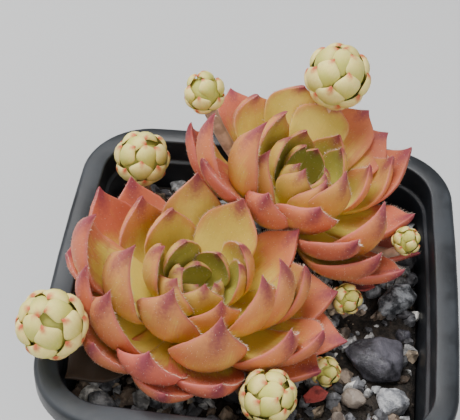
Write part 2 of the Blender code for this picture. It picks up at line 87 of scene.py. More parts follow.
POT_HEIGHT = 80.0
RIM_HALF = 45.0
RIM_OPENING_HALF = 39.7
RIM_CORNER = 17.0
RIM_EDGE_ROUND = 1.2
SKIRT_DROP = 5.0
BAND_DROP = 6.0
SHOULDER = 1.2
WALL = 1.2
BASE_HALF = 31.5
BASE_CORNER = 10.0
FLOOR = 1.6
WALL_BOW = 0.6
DRAIN_RADIUS = 3.5
DRAIN_SPACING = 20.0
SOIL_LEVEL = 68.0
SOIL_WAVE = 1.1
SOIL_GAP = 0.55
GAP = 0.3
RIM_CLEARANCE = 86.0
WALL_CLEARANCE = 38.2
GROUND_CLEARANCE = 72.7
RIM_SAG = 2.5
RIM_REACH = 2.5
RIM_TOUCH = 0.01
STEM_RADIUS = 4.2
STEM_FOOT = 57.0
STEM_DROP = 0.8

# Each hen: its crown and lean, how many leaves its spiral has, the first leaf's
# direction, and each measure from the inmost leaf to the outermost with its power.
# Lost leaves are those that withered or never showed. A leaning leaf has its own
# turn and lift in degrees, its own reach and width in millimetres and its own bow
# added.
FRONT = dict(
    crown=(-13.6, -6.2, 74.9), lean=(8.9, -0.9), leaves=51, turn=-1, first=24.0,
    lift=(83.6, 12.0, 0.71), reach=(8.0, 34.0, 2.5), width=(6.0, 16.0, 4.5),
    thick=(1.6, 3.2), curl=(0.40, 0.70, 0.66), feet=(2.0, -1.0),
)
FRONT_LOST = {10, 17, 20, 22, 26, 27, 31, 32, 34, 36, 39, 44}
FRONT_LEANING = {
    1: (0, 11, -3, 0, 0), 3: (0, -4, -1, 0, 0), 7: (-6, 1, 0, 0, 0), 9: (1, -1, -2, 0, 0),
    11: (-18, -6, 0, 0, 0), 12: (9, 5, -1, 0, 0), 13: (-9, 11, -2, 0, 0),
    14: (-10, -1, 6, 2, 0), 15: (6, -4, -1, 0, 0), 16: (-20, 7, 4, 0, 0),
    18: (-1, 3, 1, 0, -0.32), 19: (-10, 0, 7, 2, 0), 21: (-31, 13, 2, 0, 0),
    23: (1, -2, 1, 0, -0.32), 24: (-9, -3, 6, 0, 0), 25: (21, 15, 1, 0, 0),
    28: (3, -2, -4, 0, 0), 29: (4, 7, -2, 0, 0), 30: (5, 5, 2, 0, 0), 33: (21, 16, 4, 0, 0),
    35: (2, 2, 2, 0, 0), 37: (-7, 5, 3, 0, 0), 38: (8, 12, 1, 0, 0), 42: (-4, -3, -1, 0, 0),
    45: (9, -2, 2, 0, 0), 46: (7, 5, -2, 0, 0), 47: (-8, 19, -5, -3, -0.45),
    50: (-2, -2, 2, 0, 0), 51: (12, -16, 3, 0, 0),
}

BACK = dict(
    crown=(6.6, 25.3, 77.7), lean=(17.0, 5.2), leaves=57, turn=-1, first=269.8,
    lift=(82.7, 14.3, 0.74), reach=(12.0, 33.4, 1.9), width=(5.5, 15.0, 3.8),
    thick=(1.6, 3.2), curl=(0.40, 0.66, 0.60), feet=(2.0, -2.0),
)
BACK_LOST = {16, 17, 18, 20, 21, 22, 23, 24, 26, 27, 32, 33, 36, 37, 38, 42, 43, 48, 49, 50, 51, 55}
BACK_LEANING = {
    1: (0, -2, 3, 0, 0), 6: (0, -2, 2, 0, 0), 7: (2, 3, 2, 0, 0), 10: (-41, -2, 7, 0, 0),
    11: (20, -10, 6, 0, 0), 14: (-1, 2, 2, 0, 0), 15: (-2, -4, 0, 0, 0), 19: (31, 4, 8, 0, 0),
    25: (5, 0, -1, 0, 0), 28: (0, 0, -1, 0, -0.1), 29: (-1, -5, -1, -1, -0.3),
    30: (-1, 1, 0, 0, -0.1), 31: (-17, 6, 3, 0, 0), 34: (-3, 5, -1, 0, -0.42),
    35: (-1, 1, -3, 0, -0.1), 39: (-5, -4, 4, 0, 0), 40: (26, 10, 5, 0, -0.15),
    41: (-9, 10, 0, 0, -0.3), 44: (4, 2, -2, 0, -0.3), 45: (7, 2, 2, -1, -0.48),
    46: (-4, 11, -2, 0, -0.3), 47: (2, 9, 3, -2, -0.35), 52: (-5, 0, 3, 0, 0),
    53: (4, 9, 1, -1, -0.25), 54: (-1, 10, -4, 0, -0.3), 56: (2, 0, 0, 0, -0.3),
    57: (-6, -7, 1, 0, -0.1),
}
NO_LEANING = (0, 0, 0, 0, 0)

CHICKS = (
    ("chick_left", FRONT, (-40.7, -27.7, 89.5), 7.0, (-0.25, -0.35, 0.9), 17),
    ("chick_back_left", FRONT, (-30.5, 30.0, 83.0), 6.3, (0.1, -0.2, 0.95), 15),
    ("chick_upper_left", BACK, (-16.2, 36.0, 100.5), 4.7, (-0.3, 0.1, 0.95), 11),
    ("chick_upper_right", BACK, (14.7, 46.5, 100.0), 7.4, (0.1, 0.1, 0.97), 17),
    ("chick_middle", FRONT, (20.8, -2.0, 75.8), 3.4, (0.7, -0.15, 0.65), 10),
    ("chick_front", FRONT, (5.2, -34.3, 80.6), 5.6, (0.45, -0.25, 0.85), 15),
    ("chick_right", BACK, (33.6, 12.7, 81.0), 3.2, (0.4, 0.0, 0.9), 10),
    ("chick_low_right", FRONT, (17.0, -21.0, 73.4), 3.2, (0.75, -0.45, 0.5), 10),
)
RUNNER_RADIUS = 1.5
RUNNER_SHARE = 0.34
RUNNER_STEPS = 6
RUNNER_LEVEL = 73.2
CHICK_FOOT = 0.97
RUNNER_NECK = 0.8
RUNNER_LOW_SHARE = 0.38
FALLEN = (
    ("fallen_leaf_right", (20.5, 8.4, 70.4), (24.0, 6.2, 70.9), (27.6, 5.6, 72.2), 5.0, 1.2),
    ("fallen_leaf_front", (13.0, -27.6, 71.4), (15.4, -26.4, 71.6), (18.0, -25.8, 72.6), 4.0, 1.1),
)

# How red a leaf has flushed, by its number, where it differs from its whorl
FRONT_FLUSH = {
    1: 0.3, 3: 0.4, 7: 0.0, 9: 0.1, 11: 0.45, 12: 0.15, 13: 0.15, 14: 0.3, 15: 0.05, 16: 0.3,
    18: 0.15, 19: 0.4, 21: 0.3, 23: 0.15, 24: 0.6, 25: 0.2, 28: 0.45, 29: 0.35, 30: 0.5,
    33: 0.8, 35: 1.15, 37: 0.65, 38: 0.8, 40: 0.9, 41: 0.8, 42: 0.6, 43: 0.6, 45: 0.6,
    46: 0.8, 47: 0.5, 48: 0.7, 49: 0.75, 50: 0.7,
}
BACK_FLUSH = {
    1: 0.1, 6: 0.05, 7: 0.15, 10: 0.3, 11: 0.2, 14: 0.05, 15: 0.4, 19: 0.4, 25: 0.1, 28: 0.3,
    29: 0.75, 30: 0.1, 31: 0.45, 34: 0.7, 35: 0.35, 39: 0.7, 40: 0.6, 41: 0.75, 44: 0.8,
    45: 0.95, 46: 0.6, 47: 0.8, 52: 0.8, 53: 0.9, 54: 0.7, 56: 0.85, 57: 0.95,
}
FRONT_DRY = {51}
ROSETTES = (
    ("front", FRONT, FRONT_LOST, FRONT_LEANING, FRONT_FLUSH, FRONT_DRY),
    ("back", BACK, BACK_LOST, BACK_LEANING, BACK_FLUSH, set()),
)
# An offset's scales: how many for each that its solid has, where their tips stand and
# how far each reaches down the globe in degrees, and their sizes as shares of its radius
SCALES_SHOWN = 1.3
SCALE_TIPS = (-15, 120)
SCALE_CROWDING = 0.85
SCALE_SPAN = (60, 78)
SCALE_WIDTH = (0.80, 1.16)
SCALE_THICK = 0.15
SCALE_CUP = 0.30
SCALE_FOOT = 0.78
SCALE_MIDDLE = 0.95
SCALE_TIP = (0.97, 1.05)
HEART_SHARE = 0.80
OFFSET_FUZZ = 0.8
SCALE_BLUSH = (0.75, 0.35, 0.22)
ROSETTE_BLUSH_START = 0.62
OFFSET_BLUSH_START = 0.7
STONE_FINISH = {
    "stone_slate": "slate", "stone_mottled": "mottled", "stone_dark": "slate",
    "stone_granite": "granite", "stone_tan": "tan", "stone_brown": "tan",
    "stone_white": "pale", "stone_plum": "plum", "stone_back_left": "mottled",
    "stone_left": "slate", "stone_front_left": "granite", "stone_back": "tan",
    "stone_back_right": "slate",
}


def lerp(a, b, t):
    return a + (b - a) * t


def lean_matrix(lean):
    """Turns a hen's own axis: lean[0] degrees to the right, lean[1] to the back."""
    right = Matrix.Rotation(math.radians(lean[0]), 3, "Y")
    back = Matrix.Rotation(math.radians(-lean[1]), 3, "X")
    return back @ right


def curl_at(curl, share):
    """How far a leaf bows outwards: most in the middle whorls, which cup inwards."""
    inner, middle, outer = curl
    if share < 0.4:
        return lerp(inner, middle, share / 0.4)
    return lerp(middle, outer, (share - 0.4) / 0.6)


def settle(point):
    """Moves a point of a leaf's middle line off the soil, the pot's wall and its rim."""
    point = point.copy()
    point.z = max(point.z, GROUND_CLEARANCE)
    if point.z < RIM_CLEARANCE:
        over = max(abs(point.x), abs(point.y)) - WALL_CLEARANCE
        if over > RIM_REACH:
            point.z = RIM_CLEARANCE
        elif over > 0:
            point.x = max(-WALL_CLEARANCE, min(WALL_CLEARANCE, point.x))
            point.y = max(-WALL_CLEARANCE, min(WALL_CLEARANCE, point.y))
    return point


def leaf_line(hen, number, leaning):
    """Foot, bend and tip of one leaf, its sideways direction, width and thickness."""
    share = number / hen["leaves"]
    turn, more_lift, more_reach, wider, bow = leaning.get(number, NO_LEANING)
    azimuth = math.radians(hen["first"] + hen["turn"] * GOLDEN_ANGLE * number + turn)
    lift_in, lift_out, lift_power = hen["lift"]
    lift = math.radians(lerp(lift_in, lift_out, share ** lift_power) + more_lift)
    reach_in, reach_out, reach_power = hen["reach"]
    reach = lerp(reach_in, reach_out, 1 - (1 - share) ** reach_power) + more_reach
    width_in, width_out, width_power = hen["width"]
    width = lerp(width_in, width_out, 1 - (1 - share) ** width_power) + wider
    thickness = lerp(*hen["thick"], min(1, 2 * share))
    radial = Vector((math.cos(azimuth), math.sin(azimuth), 0))
    side = Vector((-math.sin(azimuth), math.cos(azimuth), 0))
    up = Vector((0, 0, 1))
    foot = radial * lerp(1.5, 4.5, share) + up * lerp(*hen["feet"], share)
    tip = radial * reach * math.cos(lift) + up * reach * math.sin(lift)
    chord = tip - foot
    outward = side.cross(chord).normalized()
    curl = curl_at(hen["curl"], share) + bow
    bend = (foot + tip) / 2 + outward * chord.length * curl
    turned = lean_matrix(hen["lean"])
    crown = Vector(hen["crown"])
    foot, bend, tip = (turned @ p + crown for p in (foot, bend, tip))
    bend, tip = settle(bend), settle(tip)
    if max(abs(tip.x), abs(tip.y)) > WALL_CLEARANCE + RIM_TOUCH:
        bend.z = max(bend.z, tip.z - RIM_SAG)
    return foot, bend, tip, turned @ side, width, thickness


def hen_leaves(hen, lost, leaning, flush, dry):
    """What each leaf of a rosette needs: its line, its size and its colouring."""
    chance = random.Random(hen["leaves"])
    leaves = []
    for number in range(1, hen["leaves"] + 1):
        luck = chance.random()
        if number in lost:
            continue
        foot, bend, tip, side, width, thickness = leaf_line(hen, number, leaning)
        share = number / hen["leaves"]
        leaves.append(dict(
            foot=foot * MM, bend=bend * MM, tip=tip * MM, side=side,
            width=width * MM, thick=thickness * MM, cup=lerp(0.34, 0.16, share),
            age=share, luck=luck, dry=float(number in dry),
            flush=flush.get(number, lerp(0.0, 0.5, max(0.0, share - 0.35)) + 0.25 * luck),
        ))
    return leaves


def chick_scales(centre, radius, direction, count, seed):
    """The scale leaves of an offset, each an arc on its globe towards the growing tip."""
    chance = random.Random(seed)
    turned = Vector(direction).normalized().to_track_quat("Z", "Y").to_matrix()
    centre = Vector(centre)
    scales = []
    total = round(count * SCALES_SHOWN)
    for number in range(1, total + 1):
        share = (number - 0.5) / total
        azimuth = math.radians(GOLDEN_ANGLE * number + chance.uniform(-6, 6))
        top = math.radians(lerp(*SCALE_TIPS, share ** SCALE_CROWDING))
        span = math.radians(lerp(*SCALE_SPAN, share))
        flat = Vector((math.cos(azimuth), math.sin(azimuth), 0))

        def on_globe(polar, size):
            return (flat * math.sin(polar) + Vector((0, 0, math.cos(polar)))) * radius * size

        foot = on_globe(top + span, SCALE_FOOT)
        middle = on_globe(top + span / 2, SCALE_MIDDLE)
        tip = on_globe(top, chance.uniform(*SCALE_TIP))
        bend = middle * 2 - (foot + tip) / 2
        side = Vector((-math.sin(azimuth), math.cos(azimuth), 0))
        foot, bend, tip = (turned @ p + centre for p in (foot, bend, tip))
        scales.append(dict(
            foot=foot * MM, bend=bend * MM, tip=tip * MM, side=turned @ side,
            width=radius * lerp(*SCALE_WIDTH, share) * MM, thick=radius * SCALE_THICK * MM,
            cup=SCALE_CUP,
            age=share, luck=chance.random(), dry=0.0, flush=0.0,
        ))
    return scales


def runner_route(hen, centre, radius, direction):
    """A stolon's middle line: out from the stem, then up to the offset's underside."""
    start = Vector((*hen["crown"][:2], RUNNER_LEVEL))
    growing = Vector(direction).normalized()
    end = Vector(centre) - growing * (radius * CHICK_FOOT + GAP)
    neck = end - growing * RUNNER_NECK
    flat = Vector((neck.x - start.x, neck.y - start.y, 0))
    first = start + flat * RUNNER_LOW_SHARE
    climb = max(RUNNER_NECK, neck.z - RUNNER_LEVEL)
    second = neck - growing * min(flat.length * 0.3, climb)
    route = []
    for step in range(RUNNER_STEPS + 1):
        t = step / RUNNER_STEPS
        a, b, c = start.lerp(first, t), first.lerp(second, t), second.lerp(neck, t)
        route.append(a.lerp(b, t).lerp(b.lerp(c, t), t))
    return route + [end]


def ground_height(x, y):
    """The soil's surface, mounded a little in the middle."""
    wave = noise.noise(Vector((x * 0.09, y * 0.09, 4.0)))
    reach = max(abs(x), abs(y)) / RIM_OPENING_HALF
    return SOIL_LEVEL + SOIL_WAVE * wave + 1.2 * (1.0 - reach)


def wall_half(z):
    """Half width of the tapered wall's outer face at a height."""
    top = RIM_OPENING_HALF - SHOULDER + WALL
    return BASE_HALF + (top - BASE_HALF) * z / (POT_HEIGHT - BAND_DROP)


def inner_wall(z):
    """Half width, corner radius and bow of the wall's inner face at a height."""
    share = (z - FLOOR) / (POT_HEIGHT - BAND_DROP - 0.4 - FLOOR)
    half = lerp(wall_half(FLOOR) - WALL, RIM_OPENING_HALF - SHOULDER, share)
    return half, lerp(BASE_CORNER - WALL, RIM_CORNER - 6.5, share), WALL_BOW * share


# Settings that a user would change

def colour_setting(name, description, default):
    return bpy.props.FloatVectorProperty(
        name=name, description=description, subtype="COLOR", default=default)


def length_setting(name, description, default):
    return bpy.props.FloatProperty(
        name=name, description=description, unit="LENGTH", precision=5, default=default)


def number_setting(name, description, default):
    return bpy.props.FloatProperty(name=name, description=description, default=default)


def count_setting(name, description, default):
    return bpy.props.IntProperty(name=name, description=description, default=default, min=3)


class PotSettings(bpy.types.PropertyGroup):
    corner_steps: count_setting("Corner steps", "Faces round each corner of the pot", 14)
    edge_round: length_setting("Edge rounding", "Width of the rounded edges", 0.0003)
    plastic: colour_setting("Plastic", "Colour of the moulded plastic", (0.010, 0.0112, 0.0135))
    # The dust colour also paints the sheen on the pot's upward faces.
    dust_and_sheen: colour_setting("Dust", "Colour of the dust and dried water on it", (0.045, 0.054, 0.066))


class SoilSettings(bpy.types.PropertyGroup):
    soil: colour_setting("Soil", "Colour of the damp potting mix", (0.016, 0.012, 0.009))
    grit_spread: number_setting("Grit spread", "Pieces of grit to a square metre", 120000.0)
    crumb_spread: number_setting("Crumb spread", "Crumbs of soil to a square metre", 420000.0)
    pebble_spread: number_setting("Pebble spread", "Pebbles to a square metre", 80000.0)
    grit_size: length_setting("Grit size", "Radius of the largest grit", 0.0023)
    crumb_size: length_setting("Crumb size", "Radius of the largest crumb", 0.0007)
    pebble_size: length_setting("Pebble size", "Radius of the largest pebble", 0.0034)
    seed: count_setting("Seed", "Changes where the grit lies", 3)


class LeafSettings(bpy.types.PropertyGroup):
    around: count_setting("Around", "Points round a leaf's section", 22)
    along: count_setting("Along", "Points along a leaf", 30)
    pillow: number_setting("Pillow", "Rise of the upper face as a share of thickness", 0.16)
    ripple: length_setting("Ripple", "Height of the unevenness of the leaves' faces", 0.00035)
    heart: colour_setting("Heart green", "Colour of the young inner leaves", (0.27, 0.26, 0.045))
    foot: colour_setting("Foot", "Colour near a leaf's foot", (0.66, 0.50, 0.090))
    inner: colour_setting(
        "Inner face", "Colour of the upper faces of the inner leaves", (0.56, 0.41, 0.075))
    front_flesh: colour_setting(
        "Front flesh", "Middle colour of the front rosette", (0.70, 0.41, 0.105))
    back_flesh: colour_setting(
        "Back flesh", "Middle colour of the back rosette", (0.70, 0.38, 0.080))
    old_flesh: colour_setting(
        "Old flesh", "Colour of the outer leaves' upper faces", (0.56, 0.24, 0.045))
    blush: colour_setting(
        "Blush", "Pink that a leaf flushes towards its point", (0.54, 0.125, 0.080))
    point: colour_setting("Point", "Purple of the leaf's point", (0.26, 0.050, 0.075))
    edge: colour_setting("Edge", "Pink rim of a leaf", (0.55, 0.15, 0.13))


class HairSettings(bpy.types.PropertyGroup):
    cilia_length: length_setting("Cilia length", "Length of the hairs on a leaf's rim", 0.00075)
    cilia_spacing: length_setting(
        "Cilia spacing", "Distance between the hairs on a leaf's rim", 0.00042)
    fuzz_length: length_setting(
        "Fuzz length", "Length of the short hairs on a leaf's faces", 0.00038)
    fuzz_spread: number_setting("Fuzz spread", "Short hairs to a square metre", 620000.0)
    colour: colour_setting("Hair", "Colour of the hairs", (0.72, 0.54, 0.42))


class ChickSettings(bpy.types.PropertyGroup):
    cream: colour_setting("Cream", "Main colour of the offsets' scales", (0.86, 0.71, 0.25))
    green: colour_setting("Green", "Colour of the scales at the growing tip", (0.56, 0.54, 0.12))
    point: colour_setting(
        "Scale point", "Colour of the spot at each scale's tip", (0.55, 0.075, 0.035))
    stolon: colour_setting("Stolon", "Colour of the runners", (0.62, 0.40, 0.27))


class StageSettings(bpy.types.PropertyGroup):
    floor_size: length_setting("Floor", "Side of the pale floor", 3.0)
    focal: number_setting("Focal length", "Camera lens in millimetres", 96.73)
    place: bpy.props.FloatVectorProperty(
        name="Camera place", description="Where the camera stands", subtype="XYZ",
        default=(0.005325, -0.183126, 0.291450), precision=6)
    turn: bpy.props.FloatVectorProperty(
        name="Camera turn", description="How the camera is turned", subtype="EULER",
        default=(0.761843, -0.030332, 0.097179), precision=6)


# Wiring of node trees

class Wiring:
    """Adds nodes to a tree; a value given for an input is a number, colour or socket."""

    def __init__(self, tree):
        self.tree = tree

    def node(self, kind, inputs=None, **settings):
        made = self.tree.nodes.new(kind)
        for name, value in settings.items():
            setattr(made, name, value)
        for name, value in (inputs or {}).items():
            self.feed(made.inputs[name], value)
        return made

    def feed(self, socket, value):
        if isinstance(value, bpy.types.NodeSocket):
            self.tree.links.new(value, socket)
        elif isinstance(value, (tuple, list)) and len(value) == 3 and socket.type == "RGBA":
            socket.default_value = (*value, 1.0)
        else:
            socket.default_value = value

    def maths(self, operation, *values):
        made = self.node("ShaderNodeMath", operation=operation)
        for i, value in enumerate(values):
            self.feed(made.inputs[i], value)
        return made.outputs[0]

    def plus(self, a, b):
        return self.maths("ADD", a, b)

    def less(self, a, b):
        return self.maths("SUBTRACT", a, b)

    def times(self, a, b):
        return self.maths("MULTIPLY", a, b)

    def vector(self, operation, *values):
        made = self.node("ShaderNodeVectorMath", operation=operation)
        for i, value in enumerate(values):
            self.feed(made.inputs[i], value)
        return made.outputs[0]

    def scaled(self, vector, factor):
        made = self.node("ShaderNodeVectorMath", operation="SCALE", inputs={0: vector, "Scale": factor})
        return made.outputs[0]

    def split(self, vector):
        return self.node("ShaderNodeSeparateXYZ", inputs={0: vector}).outputs

    def between(self, a, b, share):
        """The point at that share of the way from a to b."""
        return self.vector("ADD", a, self.scaled(self.vector("SUBTRACT", b, a), share))

    def ramp(self, value, low, high, start=0.0, end=1.0):
        """A smooth rise of value from low to high, put out from start to end."""
        made = self.node("ShaderNodeMapRange", interpolation_type="SMOOTHSTEP")
        for i, given in enumerate((value, low, high, start, end)):
            self.feed(made.inputs[i], given)
        return made.outputs["Result"]

    def mix(self, share, a, b, blend="MIX"):
        """A colour between a and b."""
        made = self.node("ShaderNodeMix", data_type="RGBA", blend_type=blend)
        self.feed(made.inputs[0], share)
        self.feed(made.inputs[6], a)
        self.feed(made.inputs[7], b)
        return made.outputs[2]

    def speckle(self, vector, scale, detail=2.0, roughness=0.5):
        made = self.node("ShaderNodeTexNoise", inputs={
            "Vector": vector, "Scale": scale, "Detail": detail, "Roughness": roughness})
        return made.outputs[0]

    def object_place(self):
        return self.node("ShaderNodeTexCoord").outputs["Object"]

    def colouring(self, name):
        """An attribute as a material reads it."""
        return self.node("ShaderNodeAttribute", attribute_name=name, attribute_type="GEOMETRY").outputs

    def carried(self, name, kind="FLOAT"):
        """An attribute as a geometry tree reads it."""
        made = self.node("GeometryNodeInputNamedAttribute", inputs={"Name": name}, data_type=kind)
        return made.outputs[0]

    def stored(self, geometry, name, value, kind="FLOAT", domain="POINT"):
        made = self.node("GeometryNodeStoreNamedAttribute", data_type=kind, domain=domain, inputs={
            "Geometry": geometry, "Name": name, "Value": value})
        return made.outputs[0]

    def chance(self, low, high, seed):
        """A random number from low to high, or a random vector where they are vectors."""
        kind, first = ("FLOAT_VECTOR", 0) if isinstance(low, tuple) else ("FLOAT", 2)
        made = self.node("FunctionNodeRandomValue", data_type=kind, inputs={
            first: low, first + 1: high, "Seed": seed})
        return made.outputs[first // 2]

    def placed(self, points, instance, rotation, scale):
        made = self.node("GeometryNodeInstanceOnPoints", inputs={
            "Points": points, "Instance": instance, "Rotation": rotation, "Scale": scale})
        return made.outputs[0]

    def real(self, instances):
        return self.node("GeometryNodeRealizeInstances", inputs={"Geometry": instances}).outputs[0]

    def put_out(self, out, geometry, skin):
        """Gives the geometry its material and puts it out."""
        made = self.node("GeometryNodeSetMaterial", inputs={"Geometry": geometry, "Material": skin})
        self.feed(out.inputs[0], made.outputs[0])


def new_tree(name, kind, inputs, outputs):
    """A node group with its named sockets, and the wiring to fill it with."""
    tree = bpy.data.node_groups.new(name, kind)
    for label, socket, default in inputs:
        made = tree.interface.new_socket(label, in_out="INPUT", socket_type=socket)
        if default is not None:
            made.default_value = (*default, 1.0) if isinstance(default, tuple) else default
    for label, socket in outputs:
        tree.interface.new_socket(label, in_out="OUTPUT", socket_type=socket)
    wiring = Wiring(tree)
    return tree, wiring, wiring.node("NodeGroupInput").outputs, wiring.node("NodeGroupOutput")


def drive(thing, tree, values):
    """Puts a Geometry Nodes modifier on an object, its inputs set by identifier."""
    modifier = thing.modifiers.new(tree.name, "NODES")
    modifier.node_group = tree
    for item in tree.interface.items_tree:
        if item.item_type == "SOCKET" and item.in_out == "INPUT" and item.name in values:
            modifier[item.identifier] = values[item.name]


def show(thing, slot, *nodes):
    """Hands a finished piece to the frame: it rides on the root and stands for nodes."""
    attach(thing, "root")
    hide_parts(*nodes)


def linked(name, mesh):
    thing = bpy.data.objects.new(name, mesh)
    bpy.context.scene.collection.objects.link(thing)
    return thing


def plain_mesh(thing):
    """What an object's modifiers or curve settings make of it, as a plain mesh."""
    graph = bpy.context.evaluated_depsgraph_get()
    return bpy.data.meshes.new_from_object(
        thing.evaluated_get(graph), preserve_all_data_layers=True, depsgraph=graph)


def grown(name, base_mesh, tree, values):
    """The plain mesh that a tree makes of a base mesh, as a new object."""
    base = linked(name + "_base", base_mesh)
    drive(base, tree, values)
    mesh = plain_mesh(base)
    if not mesh.polygons:
        raise RuntimeError(name + " came out empty")
    mesh.name = name
    bpy.data.objects.remove(base, do_unlink=True)
    return linked(name, mesh)


def tree_named(name, maker):
    """A node group, made the first time that it is asked for."""
    return bpy.data.node_groups.get(name) or maker()


# Geometry trees: along a leaf, its half width and its thickness as shares of the largest

BLADE_WIDTH = ((0.0, 0.50), (0.18, 0.68), (0.40, 0.93), (0.58, 1.0), (0.71, 0.90),
               (0.81, 0.64), (0.88, 0.37), (0.94, 0.15), (1.0, 0.0))
BLADE_DEPTH = ((0.0, 0.80), (0.45, 1.0), (0.75, 0.88), (0.92, 0.50), (1.0, 0.0))
POINTS_TO_TIP = 1.25
LOWER_BULGE = 0.92
RIM_IS = 0.9999
CILIA_FROM = 0.22
CILIA_TILT = 0.55
COMB_AHEAD = 0.8
COMB_UP = 0.25
FUZZ_TILT = 0.6
CHIP_SCALE = 620.0
CHIP_DEPTH = 0.42
WHOLE = "NodeSocketGeometry"
NUMBER = "NodeSocketFloat"
COUNT = "NodeSocketInt"
SKIN = ("Skin", "NodeSocketMaterial", None)


def curve_node(w, value, pairs):
    """A float curve through pairs of points."""
    made = w.node("ShaderNodeFloatCurve", inputs={"Value": value})
    points = made.mapping.curves[0].points
    points[0].location = pairs[0]
    points[1].location = pairs[-1]
    for pair in pairs[1:-1]:
        points.new(*pair)
    made.mapping.update()
    return made.outputs[0]


def geometry_tree(name, *inputs):
    """A tree that takes a mesh, the inputs named and a material, and puts out a mesh."""
    return new_tree(name, "GeometryNodeTree", (("Geometry", WHOLE, None), *inputs, SKIN),
                    (("Geometry", WHOLE),))


def leaf_tree():
    """Bends one unit blade to the line of each point of a skeleton."""
    tree, w, given, out = geometry_tree(
        "Leaves on their lines", ("Around", COUNT, 22), ("Along", COUNT, 30),
        ("Pillow", NUMBER, 0.16), ("Ripple", NUMBER, 0.0003))
    grid = w.node("GeometryNodeMeshGrid", inputs={
        "Size X": 1.0, "Size Y": 1.0, "Vertices X": given["Around"], "Vertices Y": given["Along"]})
    flat = w.split(w.node("GeometryNodeInputPosition").outputs[0])
    share = w.plus(flat["Y"], 0.5)
    along = w.less(1.0, w.maths("POWER", w.less(1.0, share), POINTS_TO_TIP))
    angle = w.times(w.plus(flat["X"], 0.5), math.tau)
    across = w.maths("COSINE", angle)
    height = w.maths("SINE", angle)
    half = curve_node(w, along, BLADE_WIDTH)
    deep = curve_node(w, along, BLADE_DEPTH)
    upper = w.times(w.maths("MAXIMUM", height, 0.0), given["Pillow"])
    lower = w.times(w.maths("MINIMUM", height, 0.0), LOWER_BULGE)
    rise = w.times(w.plus(upper, lower), deep)
    unit = w.node("ShaderNodeCombineXYZ", inputs={
        "X": w.times(across, half), "Y": along, "Z": rise}).outputs[0]
    blade = w.stored(grid.outputs["Mesh"], "across", across)
    shaped = w.node("GeometryNodeSetPosition", inputs={"Geometry": blade, "Position": unit})
    sealed = w.node("GeometryNodeMergeByDistance", inputs={
        "Geometry": shaped.outputs[0], "Distance": 0.0005})
    marked = w.stored(sealed.outputs[0], "unit", w.node("GeometryNodeInputPosition").outputs[0],
                      "FLOAT_VECTOR")
    copies = w.node("GeometryNodeInstanceOnPoints", inputs={
        "Points": given["Geometry"], "Instance": marked})

    foot, bend, tip, side = (w.carried(n, "FLOAT_VECTOR") for n in ("foot", "bend", "tip", "side"))
    own = w.split(w.carried("unit", "FLOAT_VECTOR"))
    left = w.between(foot, bend, own["Y"])
    right = w.between(bend, tip, own["Y"])
    middle = w.between(left, right, own["Y"])
    ahead = w.vector("NORMALIZE", w.vector("SUBTRACT", right, left))
    up = w.vector("NORMALIZE", w.vector("CROSS_PRODUCT", ahead, side))
    lateral = w.times(own["X"], w.times(w.carried("width"), 0.5))
    cupped = w.maths("ABSOLUTE", w.times(w.times(lateral, own["X"]), w.carried("cup")))
    depth = w.times(own["Z"], w.carried("thick"))
    waves = w.speckle(w.vector("ADD", middle, w.scaled(side, lateral)), 260.0, 1.0)
    uneven = w.times(w.less(waves, 0.5), given["Ripple"])
    offset = w.plus(w.plus(depth, cupped), uneven)
    point = w.vector("ADD", middle, w.vector("ADD", w.scaled(side, lateral), w.scaled(up, offset)))
    bent = w.node("GeometryNodeSetPosition", inputs={
        "Geometry": w.real(copies.outputs[0]), "Position": point})
    outwards = w.scaled(side, w.maths("SIGN", own["X"]))
    way = w.vector("ADD", w.vector("ADD", outwards, w.scaled(ahead, COMB_AHEAD)), w.scaled(up, COMB_UP))
    combed = w.stored(bent.outputs[0], "comb", way, "FLOAT_VECTOR")
    smooth = w.node("GeometryNodeSetShadeSmooth", inputs={"Geometry": combed})
    w.put_out(out, smooth.outputs[0], given["Skin"])
    return tree


def plant_hairs(w, given, out, points, way, tilt, shortest, longest):
    """Stands a hair on each point, turned a little by chance from its way."""
    hair = w.node("GeometryNodeMeshCone", fill_type="NONE", inputs={
        "Vertices": 3, "Radius Top": 0.0, "Radius Bottom": given["Thickness"],
        "Depth": given["Length"]})
    way = w.vector("ADD", way, w.chance((-tilt, -tilt, -tilt), (tilt, tilt, tilt), given["Seed"]))
    turned = w.node("FunctionNodeAlignRotationToVector", inputs={"Vector": way}, axis="Z")
    size = w.chance(shortest, longest, given["Seed"])
    hairs = w.placed(points, hair.outputs[0], turned.outputs[0], size)
    w.put_out(out, w.real(hairs), given["Skin"])


def cilia_tree():
    """Sets a row of hairs along every living leaf's rim."""
    tree, w, given, out = geometry_tree(
        "Cilia on leaf rims", ("Length", NUMBER, 0.0007), ("Spacing", NUMBER, 0.0004),
        ("Thickness", NUMBER, 0.00006), ("Seed", COUNT, 5))
    on_rim = w.maths("GREATER_THAN", w.maths("ABSOLUTE", w.carried("across")), RIM_IS)
    free = w.maths("GREATER_THAN", w.split(w.carried("unit", "FLOAT_VECTOR"))["Y"], CILIA_FROM)
    living = w.maths("LESS_THAN", w.carried("dry"), 0.5)
    rims = w.node("GeometryNodeMeshToCurve", inputs={
        "Mesh": given["Geometry"], "Selection": w.times(w.times(on_rim, free), living)})
    rows = w.node("GeometryNodeResampleCurve", mode="LENGTH", inputs={
        "Curve": rims.outputs[0], "Length": given["Spacing"]})
    way = w.vector("NORMALIZE", w.carried("comb", "FLOAT_VECTOR"))
    plant_hairs(w, given, out, rows.outputs[0], way, CILIA_TILT, 0.55, 1.15)
    return tree


